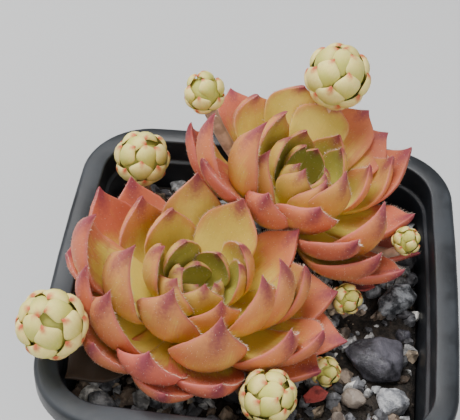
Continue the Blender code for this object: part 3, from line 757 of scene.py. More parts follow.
def fuzz_tree():
    """Scatters short hairs over the faces of the living leaves."""
    tree, w, given, out = geometry_tree(
        "Fuzz on leaf faces", ("Length", NUMBER, 0.0003), ("Thickness", NUMBER, 0.00004),
        ("Spread", NUMBER, 400000.0), ("Seed", COUNT, 9))
    along = w.split(w.carried("unit", "FLOAT_VECTOR"))["Y"]
    living = w.less(1.0, w.carried("dry"))
    density = w.times(given["Spread"], w.times(living, w.ramp(along, 0.25, 0.7)))
    strewn = w.node("GeometryNodeDistributePointsOnFaces", inputs={
        "Mesh": given["Geometry"], "Seed": given["Seed"], "Density": density})
    plant_hairs(w, given, out, strewn.outputs["Points"], strewn.outputs["Normal"], FUZZ_TILT, 0.4, 1.2)
    return tree


def grit_tree():
    """Strews angular bits over a surface where its bare attribute allows."""
    tree, w, given, out = geometry_tree(
        "Bits strewn on soil", ("Size", NUMBER, 0.0016), ("Smallest", NUMBER, 0.35),
        ("Spread", NUMBER, 60000.0), ("Roundness", COUNT, 2), ("Seed", COUNT, 3))
    seed = given["Seed"]
    strewn = w.node("GeometryNodeDistributePointsOnFaces", inputs={
        "Mesh": given["Geometry"], "Seed": seed, "Density": w.times(given["Spread"], w.carried("bare"))})
    bit = w.node("GeometryNodeMeshIcoSphere", inputs={
        "Radius": 1.0, "Subdivisions": given["Roundness"]})
    turned = w.chance((0.0, 0.0, 0.0), (math.tau, math.tau, math.tau), seed)
    share = w.maths("POWER", w.chance(0.0, 1.0, seed), 2.5)
    size = w.times(given["Size"], w.ramp(share, 0.0, 1.0, given["Smallest"], 1.0))
    flat = w.chance((0.7, 0.6, 0.45), (1.15, 0.95, 0.8), seed)
    bits = w.placed(strewn.outputs["Points"], bit.outputs[0], turned, w.scaled(flat, size))
    kind = w.chance(0.0, 1.0, w.plus(seed, 7.0))
    bits = w.real(w.stored(bits, "kind", kind, domain="INSTANCE"))
    place = w.node("GeometryNodeInputPosition").outputs[0]
    dents = w.node("ShaderNodeTexVoronoi", inputs={"Vector": place, "Scale": CHIP_SCALE})
    dents = w.vector("SUBTRACT", dents.outputs["Color"], (0.5, 0.5, 0.5))
    shift = w.scaled(dents, w.times(given["Size"], CHIP_DEPTH))
    chipped = w.node("GeometryNodeSetPosition", inputs={"Geometry": bits, "Offset": shift})
    w.put_out(out, chipped.outputs[0], given["Skin"])
    return tree


# Shader groups and materials

COLOURED = (("Color", "NodeSocketColor"), ("Height", NUMBER))
LEAF_COLOURS = ("Heart", "Foot", "Inner", "Flesh", "Old flesh", "Blush", "Point", "Edge")
DRY_BROWN = (0.05, 0.035, 0.025)
# Where along a leaf, or how far out in its rosette, each change of colour runs
UPPER_FACE = (-0.06, 0.02)
FOOT_TO_FLESH = (0.30, 0.78)
OLD_AGES = (0.5, 0.85)
YOUNG_AGES = (0.10, 0.34)
BLUSH_AGES = (0.06, 0.26)
BLUSH_FADE = (0.04, 0.38)
SPOT_FADE = (0.05, 0.36)
RIM_FADE = (0.92, 1.0)


def mottle_group():
    """Soft patches between two colours, with a fine grain on them."""
    tree, w, given, out = new_tree("Mottle", "ShaderNodeTree", (
        ("Low", "NodeSocketColor", (0.1, 0.1, 0.1)), ("High", "NodeSocketColor", (0.3, 0.3, 0.3)),
        ("Patches", NUMBER, 200.0), ("Grain", NUMBER, 2500.0), ("Grain strength", NUMBER, 0.35),
    ), COLOURED)
    place = w.object_place()
    patches = w.speckle(place, given["Patches"], 3.0, 0.6)
    grain = w.speckle(place, given["Grain"], 2.0, 0.6)
    share = w.plus(w.ramp(patches, 0.38, 0.62), w.times(w.less(grain, 0.5), given["Grain strength"]))
    w.feed(out.inputs["Color"], w.mix(share, given["Low"], given["High"]))
    w.feed(out.inputs["Height"], w.plus(w.times(patches, 0.5), grain))
    return tree


def leaf_colour_group():
    """A leaf's colours from foot to point, and towards its rim, from its attributes."""
    tree, w, given, out = new_tree("Leaf colour", "ShaderNodeTree", (
        *((name, "NodeSocketColor", (0.5, 0.3, 0.1)) for name in LEAF_COLOURS),
        ("Dry", "NodeSocketColor", DRY_BROWN), ("Blush start", NUMBER, 0.5),
    ), COLOURED)
    place = w.object_place()
    shape = w.colouring("unit")["Vector"]
    unit = w.split(shape)
    along, lateral = unit["Y"], w.maths("ABSOLUTE", unit["X"])
    rim = w.maths("ABSOLUTE", w.colouring("across")["Fac"])
    age, luck, flush, dry = (w.colouring(n)["Fac"] for n in ("age", "luck", "flush", "dry"))
    upper = w.ramp(unit["Z"], *UPPER_FACE)
    cloud = w.speckle(place, 170.0, 3.0, 0.55)
    fine = w.speckle(place, 1300.0, 2.0, 0.6)
    streak = w.speckle(w.vector("MULTIPLY", shape, (26.0, 3.0, 1.0)), 1.0, 2.0)
    wander = w.plus(w.times(w.less(cloud, 0.5), 0.5), w.times(w.less(streak, 0.5), 0.25))
    there = w.plus(along, wander)

    flesh = w.mix(upper, given["Flesh"], given["Inner"])
    old = w.times(w.ramp(age, *OLD_AGES), w.plus(0.25, w.times(upper, 0.65)))
    flesh = w.mix(old, flesh, given["Old flesh"])
    young = w.times(w.ramp(age, *YOUNG_AGES, 1.0, 0.0), w.plus(0.35, w.times(upper, 0.65)))
    flesh = w.mix(young, flesh, given["Heart"])
    foot = w.mix(w.times(young, 0.7), given["Foot"], given["Heart"])
    colour = w.mix(w.ramp(there, *FOOT_TO_FLESH), foot, flesh)

    start = w.less(given["Blush start"], w.times(flush, 0.34))
    reach = w.plus(there, w.times(w.ramp(rim, 0.55, 1.0), 0.22))
    pink = w.ramp(w.less(reach, start), *BLUSH_FADE)
    strength = w.maths("MINIMUM", w.plus(0.35, w.times(flush, 0.66)), 1.0)
    strength = w.times(strength, w.ramp(age, *BLUSH_AGES))
    colour = w.mix(w.times(pink, strength), colour, given["Blush"])

    short = w.times(w.less(1.0, along), 1.25)
    near = w.plus(w.times(short, short), w.times(w.times(lateral, lateral), 0.75))
    near = w.plus(w.maths("SQRT", near), w.times(w.less(fine, 0.5), 0.2))
    colour = w.mix(w.ramp(near, *SPOT_FADE, 0.92, 0.0), colour, given["Point"])
    margin = w.times(w.ramp(rim, *RIM_FADE), w.ramp(along, 0.4, 0.85, 0.0, 0.7))
    colour = w.mix(margin, colour, given["Edge"])

    shade = w.plus(0.84, w.times(w.plus(fine, luck), 0.16))
    grey = w.node("ShaderNodeCombineColor", inputs={"Red": shade, "Green": shade, "Blue": shade})
    colour = w.mix(1.0, colour, grey.outputs[0], "MULTIPLY")
    w.feed(out.inputs["Color"], w.mix(dry, colour, given["Dry"]))
    w.feed(out.inputs["Height"], w.plus(fine, w.times(streak, 0.6)))
    return tree


def surface(name, roughness, gloss=0.5, sheen=0.0):
    """A material with its Principled shader, and the wiring of its tree."""
    made = bpy.data.materials.new(name)
    made.use_nodes = True
    shader = made.node_tree.nodes["Principled BSDF"]
    for key, value in (("Roughness", roughness), ("Specular IOR Level", gloss), ("Sheen Weight", sheen)):
        shader.inputs[key].default_value = value
    return made, Wiring(made.node_tree), shader


def add_bump(w, shader, height, strength, distance):
    bump = w.node("ShaderNodeBump", inputs={
        "Strength": strength, "Distance": distance, "Height": height})
    w.feed(shader.inputs["Normal"], bump.outputs[0])


def colour_with(w, shader, group, values, strength, distance):
    """Colours and roughens a material by a shader group; gives the group's colour."""
    made = w.node("ShaderNodeGroup", node_tree=group)
    for key, value in values.items():
        w.feed(made.inputs[key], value)
    w.feed(shader.inputs["Base Color"], made.outputs["Color"])
    add_bump(w, shader, made.outputs["Height"], strength, distance)
    return made.outputs["Color"]


def leaf_material(name, colours, blush_start):
    made, w, shader = surface(name, 0.55, 0.24, 0.03)
    for key, value in (("Sheen Roughness", 0.45), ("Sheen Tint", (1.0, 0.9, 0.82, 1.0)),
                       ("Subsurface Weight", 0.18), ("Subsurface Scale", 0.0012),
                       ("Subsurface Radius", (1.0, 0.45, 0.2))):
        shader.inputs[key].default_value = value
    values = dict(zip(LEAF_COLOURS, (tuple(colour) for colour in colours)))
    values["Blush start"] = blush_start
    colour_with(w, shader, tree_named("Leaf colour", leaf_colour_group), values, 0.35, 0.00012)
    return made


def hair_material(colour):
    made, w, shader = surface("pale hair", 0.4, sheen=0.3)
    darker = tuple(c * 0.8 for c in colour)
    lighter = tuple(min(1.0, c * 1.1) for c in colour)
    w.feed(shader.inputs["Base Color"], w.mix(w.speckle(w.object_place(), 90.0), darker, lighter))
    return made


def mottled(name, values, bump, distance, *shine):
    """A material of mottled colour; values go to the mottle's inputs."""
    made, w, shader = surface(name, *shine)
    colour_with(w, shader, tree_named("Mottle", mottle_group), values, bump, distance)
    return made


def stone_material(name, low, high, patches, roughness, bump):
    """Mottled stone that is wet here and there."""
    made = mottled(name, {"Low": low, "High": high, "Patches": patches, "Grain strength": 0.7},
                   bump, 0.0003, roughness, 0.45)
    w = Wiring(made.node_tree)
    damp = w.ramp(w.speckle(w.object_place(), 300.0), 0.4, 0.65, roughness, 0.32)
    w.feed(made.node_tree.nodes["Principled BSDF"].inputs["Roughness"], damp)
    return made


def bits_material(name, tints, roughness):
    """Grit of many kinds: each bit's kind picks its tint."""
    made, w, shader = surface(name, roughness, 0.45)
    ramp = w.node("ShaderNodeValToRGB", inputs={"Fac": w.colouring("kind")["Fac"]})
    ramp.color_ramp.interpolation = "CONSTANT"
    stops = ramp.color_ramp.elements
    while len(stops) < len(tints):
        stops.new(0.5)
    for stop, (start, tint) in zip(stops, tints):
        stop.position = start
        stop.color = (*tint, 1.0)
    patchy = colour_with(w, shader, tree_named("Mottle", mottle_group), {
        "Low": (0.45, 0.45, 0.45), "High": (1.3, 1.3, 1.3), "Patches": 500.0}, 0.5, 0.0002)
    w.feed(shader.inputs["Base Color"], w.mix(1.0, ramp.outputs[0], patchy, "MULTIPLY"))
    return made


def pot_material(settings):
    """Black moulded plastic with dust and dried splashes; what faces up is lighter, partly from settled
    dust and partly from a painted sheen.
    """
    made, w, shader = surface("dusty black plastic", 0.42)
    place = w.object_place()
    facing = w.split(w.node("ShaderNodeNewGeometry").outputs["Normal"])["Z"]
    film = w.ramp(w.speckle(place, 45.0, 5.0, 0.65), 0.35, 0.75)
    # Painted sheen and dust: the light film is stronger on faces that look up, partly settled dust and
    # partly a painted sheen of the light from above.
    upward_dust_and_sheen = w.ramp(facing, 0.2, 0.95, 0.12, 0.55)
    specks = w.ramp(w.speckle(place, 900.0, 2.0), 0.66, 0.74)
    scuffs = w.ramp(w.speckle(w.vector("MULTIPLY", place, (1.0, 1.0, 9.0)), 240.0, 2.0), 0.60, 0.72)
    dust_and_sheen = w.plus(w.times(film, upward_dust_and_sheen), w.times(specks, 0.35))
    dust_and_sheen = w.maths("MINIMUM", w.plus(dust_and_sheen, w.times(scuffs, 0.10)), 0.85)
    w.feed(shader.inputs["Base Color"], w.mix(dust_and_sheen, tuple(settings.plastic), tuple(settings.dust_and_sheen)))
    w.feed(shader.inputs["Roughness"], w.ramp(dust_and_sheen, 0.0, 0.6, 0.36, 0.68))
    grain = w.speckle(place, 3200.0, 2.0, 0.6)
    add_bump(w, shader, w.plus(grain, w.times(film, 1.5)), 0.25, 0.00008)
    return made


# Mesh code shared by the operators

SIDE_STEPS = 4
RIM_ROUND_STEPS = 4
SKIRT_TOP_DROP = 1.4 * WALL
BED_RINGS = 34
BED_SUNK = 0.3
STONE_ROOM = 0.36
STONE_WEAR = 0.055
STONE_FACET = 0.10
STONE_ROUGH = 0.035
STONE_PITS = 0.05
STEM_ROOM = 0.006
STREWN_HALF = 0.0362
GRIT_TINTS = (
    (0.0, (0.085, 0.082, 0.088)), (0.20, (0.17, 0.17, 0.18)), (0.40, (0.30, 0.30, 0.30)),
    (0.56, (0.42, 0.41, 0.40)), (0.66, (0.20, 0.15, 0.11)), (0.76, (0.40, 0.31, 0.22)),
    (0.84, (0.10, 0.07, 0.05)), (0.95, (0.66, 0.63, 0.58)),
)
CRUMB_TINTS = (
    (0.0, (0.016, 0.012, 0.010)), (0.45, (0.030, 0.022, 0.016)), (0.72, (0.060, 0.042, 0.028)),
    (0.86, (0.10, 0.075, 0.05)), (0.955, (0.28, 0.22, 0.16)), (0.985, (0.13, 0.018, 0.014)),
)
# Each finish: its two colours, how fine its patches are, roughness, bump and slot
STONE_KINDS = {
    "slate": ((0.020, 0.019, 0.024), (0.105, 0.10, 0.12), 160.0, 0.6, 0.6, "stone_slate"),
    "mottled": ((0.035, 0.037, 0.042), (0.32, 0.33, 0.35), 420.0, 0.6, 0.9, "stone_mottled"),
    "granite": ((0.16, 0.165, 0.18), (0.46, 0.46, 0.47), 520.0, 0.7, 0.8, "stone_granite"),
    "tan": ((0.13, 0.10, 0.08), (0.34, 0.28, 0.23), 300.0, 0.75, 0.6, "stone_tan"),
    "pale": ((0.42, 0.40, 0.39), (0.66, 0.63, 0.61), 220.0, 0.5, 0.2, "stone_pale"),
    "plum": ((0.055, 0.045, 0.060), (0.20, 0.17, 0.20), 260.0, 0.65, 0.6, "stone_slate"),
}


def ring_loft(rings, end_point=None):
    """Points and faces through rings of equal length, its ends closed."""
    count = len(rings[0])
    points = [p for ring in rings for p in ring]
    faces = []
    for row in range(len(rings) - 1):
        for i in range(count):
            j = (i + 1) % count
            low, high = row * count, (row + 1) * count
            faces.append((low + i, low + j, high + j, high + i))
    last = (len(rings) - 1) * count
    faces.append(tuple(reversed(range(count))))
    if end_point is None:
        faces.append(tuple(last + i for i in range(count)))
    else:
        points.append(end_point)
        faces += [(last + i, last + (i + 1) % count, len(points) - 1) for i in range(count)]
    return points, faces


def rounded_square(half, corner, z, bow, steps):
    """A level ring in millimetres: a square with round corners and slightly bowed sides."""
    ring = []
    for quarter in range(4):
        signs = (1 if quarter in (0, 3) else -1, 1 if quarter in (0, 1) else -1)
        for step in range(steps + 1):
            angle = math.radians(90 * quarter + 90 * step / steps)
            ring.append(Vector((
                (half - corner) * signs[0] + corner * math.cos(angle),
                (half - corner) * signs[1] + corner * math.sin(angle), z)))
        turned = math.radians(90 * (quarter + 1))
        out = Vector((math.cos(turned), math.sin(turned), 0))
        run = Vector((-math.sin(turned), math.cos(turned), 0))
        for k in range(1, SIDE_STEPS):
            place = 2 * k / SIDE_STEPS - 1
            ring.append(out * (half + bow * (1 - place * place)) + run * place * (half - corner)
                        + Vector((0, 0, z)))
    return ring


def mesh_from(name, points, faces):
    """A mesh of points in millimetres, with its faces turned outwards."""
    mesh = bpy.data.meshes.new(name)
    mesh.from_pydata([Vector(p) * MM for p in points], [], faces)
    shape = bmesh.new()
    shape.from_mesh(mesh)
    bmesh.ops.recalc_face_normals(shape, faces=shape.faces)
    shape.to_mesh(mesh)
    shape.free()
    mesh.shade_smooth()
    return mesh


def settled(thing):
    """Applies a piece's modifiers to its mesh."""
    mesh = plain_mesh(thing)
    thing.modifiers.clear()
    thing.data = mesh


def skeleton(name, leaves):
    """A mesh with one point for each leaf, which carries what bends and colours it."""
    mesh = bpy.data.meshes.new(name)
    mesh.from_pydata([leaf["foot"] for leaf in leaves], [], [])
    for key in ("foot", "bend", "tip", "side"):
        layer = mesh.attributes.new(key, "FLOAT_VECTOR", "POINT")
        layer.data.foreach_set("vector", [c for leaf in leaves for c in leaf[key]])
    for key in ("width", "thick", "cup", "age", "luck", "flush", "dry"):
        layer = mesh.attributes.new(key, "FLOAT", "POINT")
        layer.data.foreach_set("value", [leaf[key] for leaf in leaves])
    return mesh


def grow_leaves(name, leaves, skin, around, along, ripple):
    settings = bpy.context.scene.hens_leaf
    return grown(name, skeleton(name, leaves), tree_named("Leaves on their lines", leaf_tree), {
        "Around": around, "Along": along, "Pillow": settings.pillow, "Ripple": ripple, "Skin": skin})


def hair_skin():
    colour = tuple(bpy.context.scene.hens_hair.colour)
    return bpy.data.materials.get("pale hair") or hair_material(colour)


def grow_cilia(name, leaves):
    hair = bpy.context.scene.hens_hair
    tree = tree_named("Cilia on leaf rims", cilia_tree)
    return grown(name + "_cilia", leaves.data.copy(), tree, {
        "Length": hair.cilia_length, "Spacing": hair.cilia_spacing, "Skin": hair_skin()})


def grow_fuzz(name, leaves, share=1.0):
    hair = bpy.context.scene.hens_hair
    tree = tree_named("Fuzz on leaf faces", fuzz_tree)
    return grown(name + "_fuzz", leaves.data.copy(), tree, {
        "Length": hair.fuzz_length, "Spread": hair.fuzz_spread * share, "Skin": hair_skin()})


# Operators: one for each piece or group of like pieces

class HENS_OT_pot(bpy.types.Operator):
    """Make the moulded pot with its rim, hanging skirt and drain holes"""
    bl_idname = "hens.make_pot"
    bl_label = "Make the pot"

    def execute(self, context):
        settings = context.scene.hens_pot
        top = POT_HEIGHT
        band = top - BAND_DROP
        under = band - 2.0
        skirt = RIM_HALF - WALL
        wall_corner = lerp(BASE_CORNER, RIM_CORNER - 6.0, under / POT_HEIGHT)
        profile = [
            (BASE_HALF - 0.5, BASE_CORNER - 0.5, 0.0, 0.0),
            (BASE_HALF, BASE_CORNER, 0.5, 0.0),
            (wall_half(under), wall_corner, under, WALL_BOW),
            (wall_half(top - SKIRT_TOP_DROP), RIM_CORNER - 6.0, top - SKIRT_TOP_DROP, WALL_BOW),
            (skirt, RIM_CORNER - WALL, top - SKIRT_TOP_DROP, WALL_BOW),
            (skirt, RIM_CORNER - WALL, top - SKIRT_DROP, WALL_BOW),
            (RIM_HALF, RIM_CORNER, top - SKIRT_DROP, WALL_BOW),
        ]
        for step in range(RIM_ROUND_STEPS + 1):
            angle = math.radians(90 * step / RIM_ROUND_STEPS)
            inset = RIM_EDGE_ROUND * (1 - math.cos(angle))
            profile.append((RIM_HALF - inset, RIM_CORNER - inset,
                            top - RIM_EDGE_ROUND * (1 - math.sin(angle)), WALL_BOW))
        profile += [
            (RIM_OPENING_HALF + 0.5, RIM_CORNER - 5.0, top, WALL_BOW),
            (RIM_OPENING_HALF + 0.15, RIM_CORNER - 5.35, top - 0.15, WALL_BOW),
            (RIM_OPENING_HALF, RIM_CORNER - 5.5, top - 0.5, WALL_BOW),
            (RIM_OPENING_HALF - 0.15, RIM_CORNER - 5.6, band, WALL_BOW),
        ]
        for z in (band - 0.4, FLOOR):
            half, corner, bow = inner_wall(z)
            profile.append((half, corner, z, bow))
        rings = [rounded_square(*row, settings.corner_steps) for row in profile]
        pot = linked("pot_shell", mesh_from("pot_shell", *ring_loft(rings)))
        cutters = bpy.data.collections.new("drain cutters")
        context.scene.collection.children.link(cutters)
        for column in (-1, 0, 1):
            for row in (-1, 0, 1):
                if column or row:
                    bpy.ops.mesh.primitive_cylinder_add(
                        vertices=32, radius=DRAIN_RADIUS * MM, depth=6 * MM,
                        location=(column * DRAIN_SPACING * MM, row * DRAIN_SPACING * MM, FLOOR / 2 * MM))
                    hole = context.object
                    context.scene.collection.objects.unlink(hole)
                    cutters.objects.link(hole)
        cut = pot.modifiers.new("Drains", "BOOLEAN")
        cut.operation = "DIFFERENCE"
        cut.operand_type = "COLLECTION"
        cut.collection = cutters
        cut.solver = "EXACT"
        settled(pot)
        for hole in list(cutters.objects):
            bpy.data.objects.remove(hole, do_unlink=True)
        bpy.data.collections.remove(cutters)
        edge = pot.modifiers.new("Moulded edges", "BEVEL")
        edge.width = settings.edge_round
        edge.segments = 2
        edge.limit_method = "ANGLE"
        edge.angle_limit = math.radians(50)
        settled(pot)
        pot.data.shade_smooth()
        pot.data.set_sharp_from_angle(angle=math.radians(60))
        pot.data.materials.clear()
        pot.data.materials.append(pot_material(settings))
        show(pot, "pot", "pot")
        return {"FINISHED"}


class HENS_OT_soil(bpy.types.Operator):
    """Make the soil bed, its crumbs and its grit"""
    bl_idname = "hens.make_soil"
    bl_label = "Make the soil"

    def bed(self, settings):
        """The block of potting mix with a rough top."""
        rings = []
        for z in (FLOOR + GAP, 20.0, 45.0, SOIL_LEVEL - 1.5):
            half, corner, bow = inner_wall(z)
            rings.append(rounded_square(half - SOIL_GAP, corner - SOIL_GAP, z, bow, 12))
        rim = rings[-1]
        for step in range(1, BED_RINGS):
            share = 0.985 * (1 - step / BED_RINGS)
            ring = []
            for p in rim:
                x, y = p.x * share, p.y * share
                lumps = noise.fractal(Vector((x * 0.45, y * 0.45, 1.0)), 0.6, 2.1, 4)
                ring.append(Vector((x, y, ground_height(x, y) + 0.5 * lumps - BED_SUNK)))
            rings.append(ring)
        middle = Vector((0, 0, ground_height(0, 0) - BED_SUNK))
        mesh = mesh_from("soil_bed", *ring_loft(rings, middle))
        colour = tuple(settings.soil)
        mesh.materials.append(mottled("damp potting mix", {
            "Low": tuple(0.5 * c for c in colour), "High": tuple(2.4 * c for c in colour),
            "Patches": 420.0, "Grain": 1800.0}, 0.9, 0.0006, 0.8, 0.4))
        bare = mesh.attributes.new("bare", "FLOAT", "POINT")
        blocked = []
        for name in STONE_FINISH:
            low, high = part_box(name)
            blocked.append(((low + high) / 2, (high - low).xy.length * STONE_ROOM))
        for hen in (FRONT, BACK):
            blocked.append((Vector(hen["crown"]) * MM, STEM_ROOM))
        values = []
        for vertex in mesh.vertices:
            open_top = vertex.co.z > (SOIL_LEVEL - 1.4) * MM
            clear = all((vertex.co.xy - centre.xy).length > reach for centre, reach in blocked)
            inside = max(abs(vertex.co.x), abs(vertex.co.y)) < STREWN_HALF
            values.append(float(open_top and clear and inside))
        bare.data.foreach_set("value", values)
        return linked("soil_bed", mesh)

    def execute(self, context):
        settings = context.scene.hens_soil
        bed = self.bed(settings)
        tree = tree_named("Bits strewn on soil", grit_tree)
        grit_skin = bits_material("mixed grit", GRIT_TINTS, 0.62)
        crumb_skin = bits_material("soil crumbs", CRUMB_TINTS, 0.85)

        def strewn(name, size, smallest, spread, roundness, seed, skin):
            return grown(name, bed.data.copy(), tree, {
                "Size": size, "Smallest": smallest, "Spread": spread, "Roundness": roundness,
                "Seed": settings.seed + seed, "Skin": skin})

        grit = strewn("fine_grit", settings.grit_size, 0.3, settings.grit_spread, 2, 0, grit_skin)
        crumbs = strewn("soil_crumbs", settings.crumb_size, 0.4, settings.crumb_spread, 1, 1, crumb_skin)
        pebbles = strewn("pebbles", settings.pebble_size, 0.5, settings.pebble_spread, 2, 2, grit_skin)
        for piece in (bed, pebbles, grit, crumbs):
            show(piece, "soil", "soil")
        return {"FINISHED"}


class HENS_OT_stones(bpy.types.Operator):
    """Refine the larger stones: chipped edges and rough faces"""
    bl_idname = "hens.make_stones"
    bl_label = "Make the stones"

    def refined(self, node):
        """A merged copy of a stone's solid with worn edges and a rough surface."""
        mesh = frame["nodes"][node].data.copy()
        shape = bmesh.new()
        shape.from_mesh(mesh)
        bmesh.ops.remove_doubles(shape, verts=shape.verts, dist=1e-5)
        low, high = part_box(node)
        size = min(high - low)
        bmesh.ops.bevel(shape, geom=shape.edges[:], offset=size * STONE_WEAR, segments=1,
                        affect="EDGES", clamp_overlap=True, profile=0.5)
        bmesh.ops.triangulate(shape, faces=shape.faces)
        for _ in range(3):
            long_edges = [e for e in shape.edges if e.calc_length() > size * STONE_FACET]
            bmesh.ops.subdivide_edges(shape, edges=long_edges, cuts=1, use_grid_fill=True)
            bmesh.ops.triangulate(shape, faces=shape.faces)
        bmesh.ops.smooth_vert(shape, verts=shape.verts, factor=0.35,
                              use_axis_x=True, use_axis_y=True, use_axis_z=True)
        shape.normal_update()
        for vertex in shape.verts:
            rough = noise.fractal(vertex.co * 420, 0.7, 2.0, 4) * STONE_ROUGH
            pits = max(0.0, noise.noise(vertex.co * 900) - 0.35) * STONE_PITS
            vertex.co += vertex.normal * size * (rough - pits)
        shape.to_mesh(mesh)
        shape.free()
        mesh.shade_smooth()
        mesh.set_sharp_from_angle(angle=math.radians(38))
        mesh.materials.clear()
        return mesh

    def execute(self, context):
        skins = {finish: stone_material(finish + " stone", *kind[:-1])
                 for finish, kind in STONE_KINDS.items()}
        for node, finish in STONE_FINISH.items():
            mesh = self.refined(node)
            mesh.materials.append(skins[finish])
            show(linked(node + "_rough", mesh), STONE_KINDS[finish][-1], node)
        return {"FINISHED"}


class HENS_OT_rosettes(bpy.types.Operator):
    """Grow both rosettes: leaves, rim hairs and fuzz"""
    bl_idname = "hens.make_rosettes"
    bl_label = "Make the rosettes"

    def execute(self, context):
        leaf = context.scene.hens_leaf
        flesh = {"front": leaf.front_flesh, "back": leaf.back_flesh}
        for name, hen, lost, leaning, flush, dry in ROSETTES:
            skin = leaf_material(name + " leaf skin", (
                leaf.heart, leaf.foot, leaf.inner, flesh[name], leaf.old_flesh, leaf.blush,
                leaf.point, leaf.edge), ROSETTE_BLUSH_START)
            title = name + "_rosette"
            leaves = grow_leaves(title, hen_leaves(hen, lost, leaning, flush, dry), skin,
                                 leaf.around, leaf.along, leaf.ripple)
            for piece in (leaves, grow_cilia(title, leaves), grow_fuzz(title, leaves)):
                show(piece, "leaf_" + name, "hen_" + name)
        return {"FINISHED"}


class HENS_OT_chicks(bpy.types.Operator):
    """Grow the round offsets from overlapping scale leaves"""
    bl_idname = "hens.make_chicks"
    bl_label = "Make the offsets"

    def execute(self, context):
        chick = context.scene.hens_chick
        cream = tuple(chick.cream)
        blush = [lerp(a, b, 0.25) for a, b in zip(cream, SCALE_BLUSH)]
        edge = [min(1.0, c * 1.12) for c in cream]
        skin = leaf_material("offset skin", (
            chick.green, chick.green, cream, cream, cream, blush, chick.point, edge),
            OFFSET_BLUSH_START)
        for seed, (name, _, centre, radius, direction, count) in enumerate(CHICKS):
            scales = chick_scales(centre, radius, direction, count, seed)
            globe = grow_leaves(name + "_scales", scales, skin, 18, 18, radius * 0.02 * MM)
            core = bmesh.new()
            bmesh.ops.create_uvsphere(
                core, u_segments=24, v_segments=16, radius=radius * HEART_SHARE * MM,
                matrix=Matrix.Translation(Vector(centre) * MM))
            ball = bpy.data.meshes.new(name + "_heart")
            core.to_mesh(ball)
            core.free()
            ball.shade_smooth()
            ball.materials.append(skin)
            heart = linked(name + "_heart", ball)
            for piece in (globe, heart, grow_fuzz(name, globe, OFFSET_FUZZ)):
                show(piece, "chick", name)
        return {"FINISHED"}


class HENS_OT_stolons(bpy.types.Operator):
    """Make each rosette's stem and the runners to its offsets"""
    bl_idname = "hens.make_stolons"
    bl_label = "Make the stems and runners"

    def tube(self, route, radii):
        """A poly curve with a radius at each point, as a plain mesh."""
        curve = bpy.data.curves.new("runner", "CURVE")
        curve.dimensions = "3D"
        curve.bevel_depth = 1.0
        curve.bevel_resolution = 3
        curve.use_fill_caps = True
        spline = curve.splines.new("POLY")
        spline.points.add(len(route) - 1)
        for point, place, radius in zip(spline.points, route, radii):
            point.co = (*(place * MM), 1.0)
            point.radius = radius * MM
        thing = linked("runner", curve)
        mesh = plain_mesh(thing)
        bpy.data.objects.remove(thing, do_unlink=True)
        shape = bmesh.new()
        shape.from_mesh(mesh)
        bmesh.ops.remove_doubles(shape, verts=shape.verts, dist=1e-6)
        shape.to_mesh(mesh)
        shape.free()
        return mesh

    def execute(self, context):
        colour = tuple(context.scene.hens_chick.stolon)
        skin = mottled("stolon skin", {
            "Low": tuple(0.6 * c for c in colour), "High": colour, "Patches": 250.0},
            0.4, 0.0002, 0.55, 0.35, 0.2)
        for name, hen, *_ in ROSETTES:
            joined = bmesh.new()
            crown = Vector(hen["crown"])
            foot = Vector((crown.x, crown.y, STEM_FOOT))
            top = crown - Vector((0, 0, STEM_DROP))
            routes = [([foot, foot.lerp(top, 0.5), top], [STEM_RADIUS * 0.85, STEM_RADIUS, STEM_RADIUS])]
            for _, mother, centre, radius, direction, _ in CHICKS:
                if mother is hen:
                    route = runner_route(hen, centre, radius, direction)
                    thickness = min(RUNNER_RADIUS, RUNNER_SHARE * radius)
                    radii = [thickness * lerp(0.85, 1.1, i / RUNNER_STEPS) for i in range(len(route))]
                    routes.append((route, radii))
            for route, radii in routes:
                joined.from_mesh(self.tube(route, radii))
            whole = bpy.data.meshes.new(name + "_stem_and_runners")
            joined.to_mesh(whole)
            joined.free()
            whole.shade_smooth()
            whole.materials.append(skin)
            show(linked(name + "_stem_and_runners", whole), "leaf_" + name, "hen_" + name)
        return {"FINISHED"}


class HENS_OT_shed_leaves(bpy.types.Operator):
    """Lay the dry shed leaves on the grit"""
    bl_idname = "hens.make_shed_leaves"
    bl_label = "Lay the shed leaves"

    def execute(self, context):
        skin = mottled("dry red leaf", {
            "Low": (0.16, 0.022, 0.020), "High": (0.42, 0.06, 0.05), "Patches": 350.0},
            0.7, 0.0003, 0.65, 0.5, 0.1)
        for name, foot, bend, tip, width, thickness in FALLEN:
            foot, bend, tip = Vector(foot), Vector(bend), Vector(tip)
            leaf = dict(
                foot=foot * MM, bend=bend * MM, tip=tip * MM,
                side=Vector((0, 0, 1)).cross(tip - foot).normalized(), width=width * MM,
                thick=thickness * MM, cup=0.4, age=1.0, luck=0.5, flush=1.0, dry=0.0)
            piece = grow_leaves(name + "_curled", [leaf], skin, 22, 24, 0.0006)
            show(piece, "shed_leaf", name)
        return {"FINISHED"}


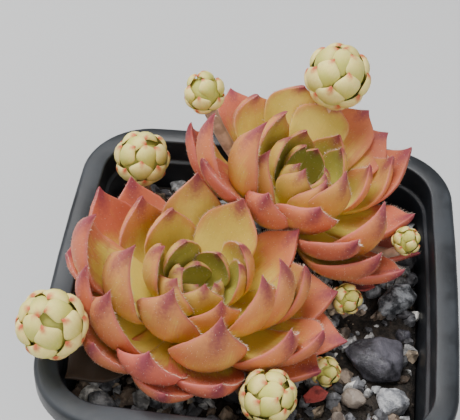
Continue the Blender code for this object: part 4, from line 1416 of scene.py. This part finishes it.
class HENS_OT_stage(bpy.types.Operator):
    """Set the pale floor, the soft lights and the camera"""
    bl_idname = "hens.make_stage"
    bl_label = "Set the stage"

    def lamp(self, name, place, size, power, colour=(1.0, 1.0, 1.0)):
        light = bpy.data.lights.new(name, "AREA")
        light.size = size
        light.energy = power
        light.color = colour
        thing = linked(name, light)
        thing.location = place
        towards_rim = Vector((0, 0, POT_HEIGHT * MM)) - Vector(place)
        thing.rotation_euler = towards_rim.to_track_quat("-Z", "Y").to_euler()

    def execute(self, context):
        stage = context.scene.hens_stage
        bpy.ops.mesh.primitive_plane_add(size=stage.floor_size, location=(0, 0, 0))
        floor = context.object
        floor.name = "pale_floor"
        made, w, shader = surface("pale floor", 0.9)
        w.feed(shader.inputs["Base Color"], w.mix(
            w.speckle(w.object_place(), 3.0), (0.55, 0.55, 0.55), (0.60, 0.60, 0.60)))
        floor.data.materials.append(made)
        self.lamp("soft key", (-0.25, 0.20, 0.75), 0.55, 9.0)
        self.lamp("front fill", (0.35, -0.65, 0.55), 0.7, 5.0, (1.0, 0.98, 0.95))
        self.lamp("left fill", (-0.75, -0.1, 0.35), 0.5, 2.0)
        world = bpy.data.worlds.new("soft room")
        world.use_nodes = True
        sky = world.node_tree.nodes["Background"].inputs
        sky["Color"].default_value = (0.9, 0.95, 1.0, 1.0)
        sky["Strength"].default_value = 0.35
        context.scene.world = world
        camera = bpy.data.cameras.new("camera")
        camera.lens = stage.focal
        camera.clip_start = 0.01
        eye = linked("camera", camera)
        eye.location = stage.place
        eye.rotation_euler = stage.turn
        context.scene.camera = eye
        return {"FINISHED"}


class HENS_PT_panel(bpy.types.Panel):
    """Lists the steps in order"""
    bl_idname = "HENS_PT_panel"
    bl_label = "Hens and chicks"
    bl_space_type = "VIEW_3D"
    bl_region_type = "UI"
    bl_category = "Hens and chicks"

    def draw(self, context):
        for step in STEPS:
            self.layout.operator(step.bl_idname)
        for name in SETTINGS:
            box = self.layout.box()
            group = getattr(context.scene, name)
            for key in group.bl_rna.properties.keys():
                if key not in ("rna_type", "name"):
                    box.prop(group, key)


SETTINGS = {
    "hens_pot": PotSettings, "hens_soil": SoilSettings, "hens_leaf": LeafSettings,
    "hens_hair": HairSettings, "hens_chick": ChickSettings, "hens_stage": StageSettings,
}
STEPS = (HENS_OT_pot, HENS_OT_soil, HENS_OT_stones, HENS_OT_rosettes, HENS_OT_stolons,
         HENS_OT_chicks, HENS_OT_shed_leaves, HENS_OT_stage)


def register():
    for kind in (*SETTINGS.values(), *STEPS, HENS_PT_panel):
        bpy.utils.register_class(kind)
    for name, kind in SETTINGS.items():
        setattr(bpy.types.Scene, name, bpy.props.PointerProperty(type=kind))


def unregister():
    for name in SETTINGS:
        delattr(bpy.types.Scene, name)
    for kind in reversed((*SETTINGS.values(), *STEPS, HENS_PT_panel)):
        bpy.utils.unregister_class(kind)


def main():
    register()
    bpy.ops.hens.make_pot()
    bpy.ops.hens.make_soil()
    bpy.ops.hens.make_stones()
    bpy.ops.hens.make_rosettes()
    bpy.ops.hens.make_stolons()
    bpy.ops.hens.make_chicks()
    bpy.ops.hens.make_shed_leaves()
    bpy.ops.hens.make_stage()


if __name__ == "__main__":
    main()
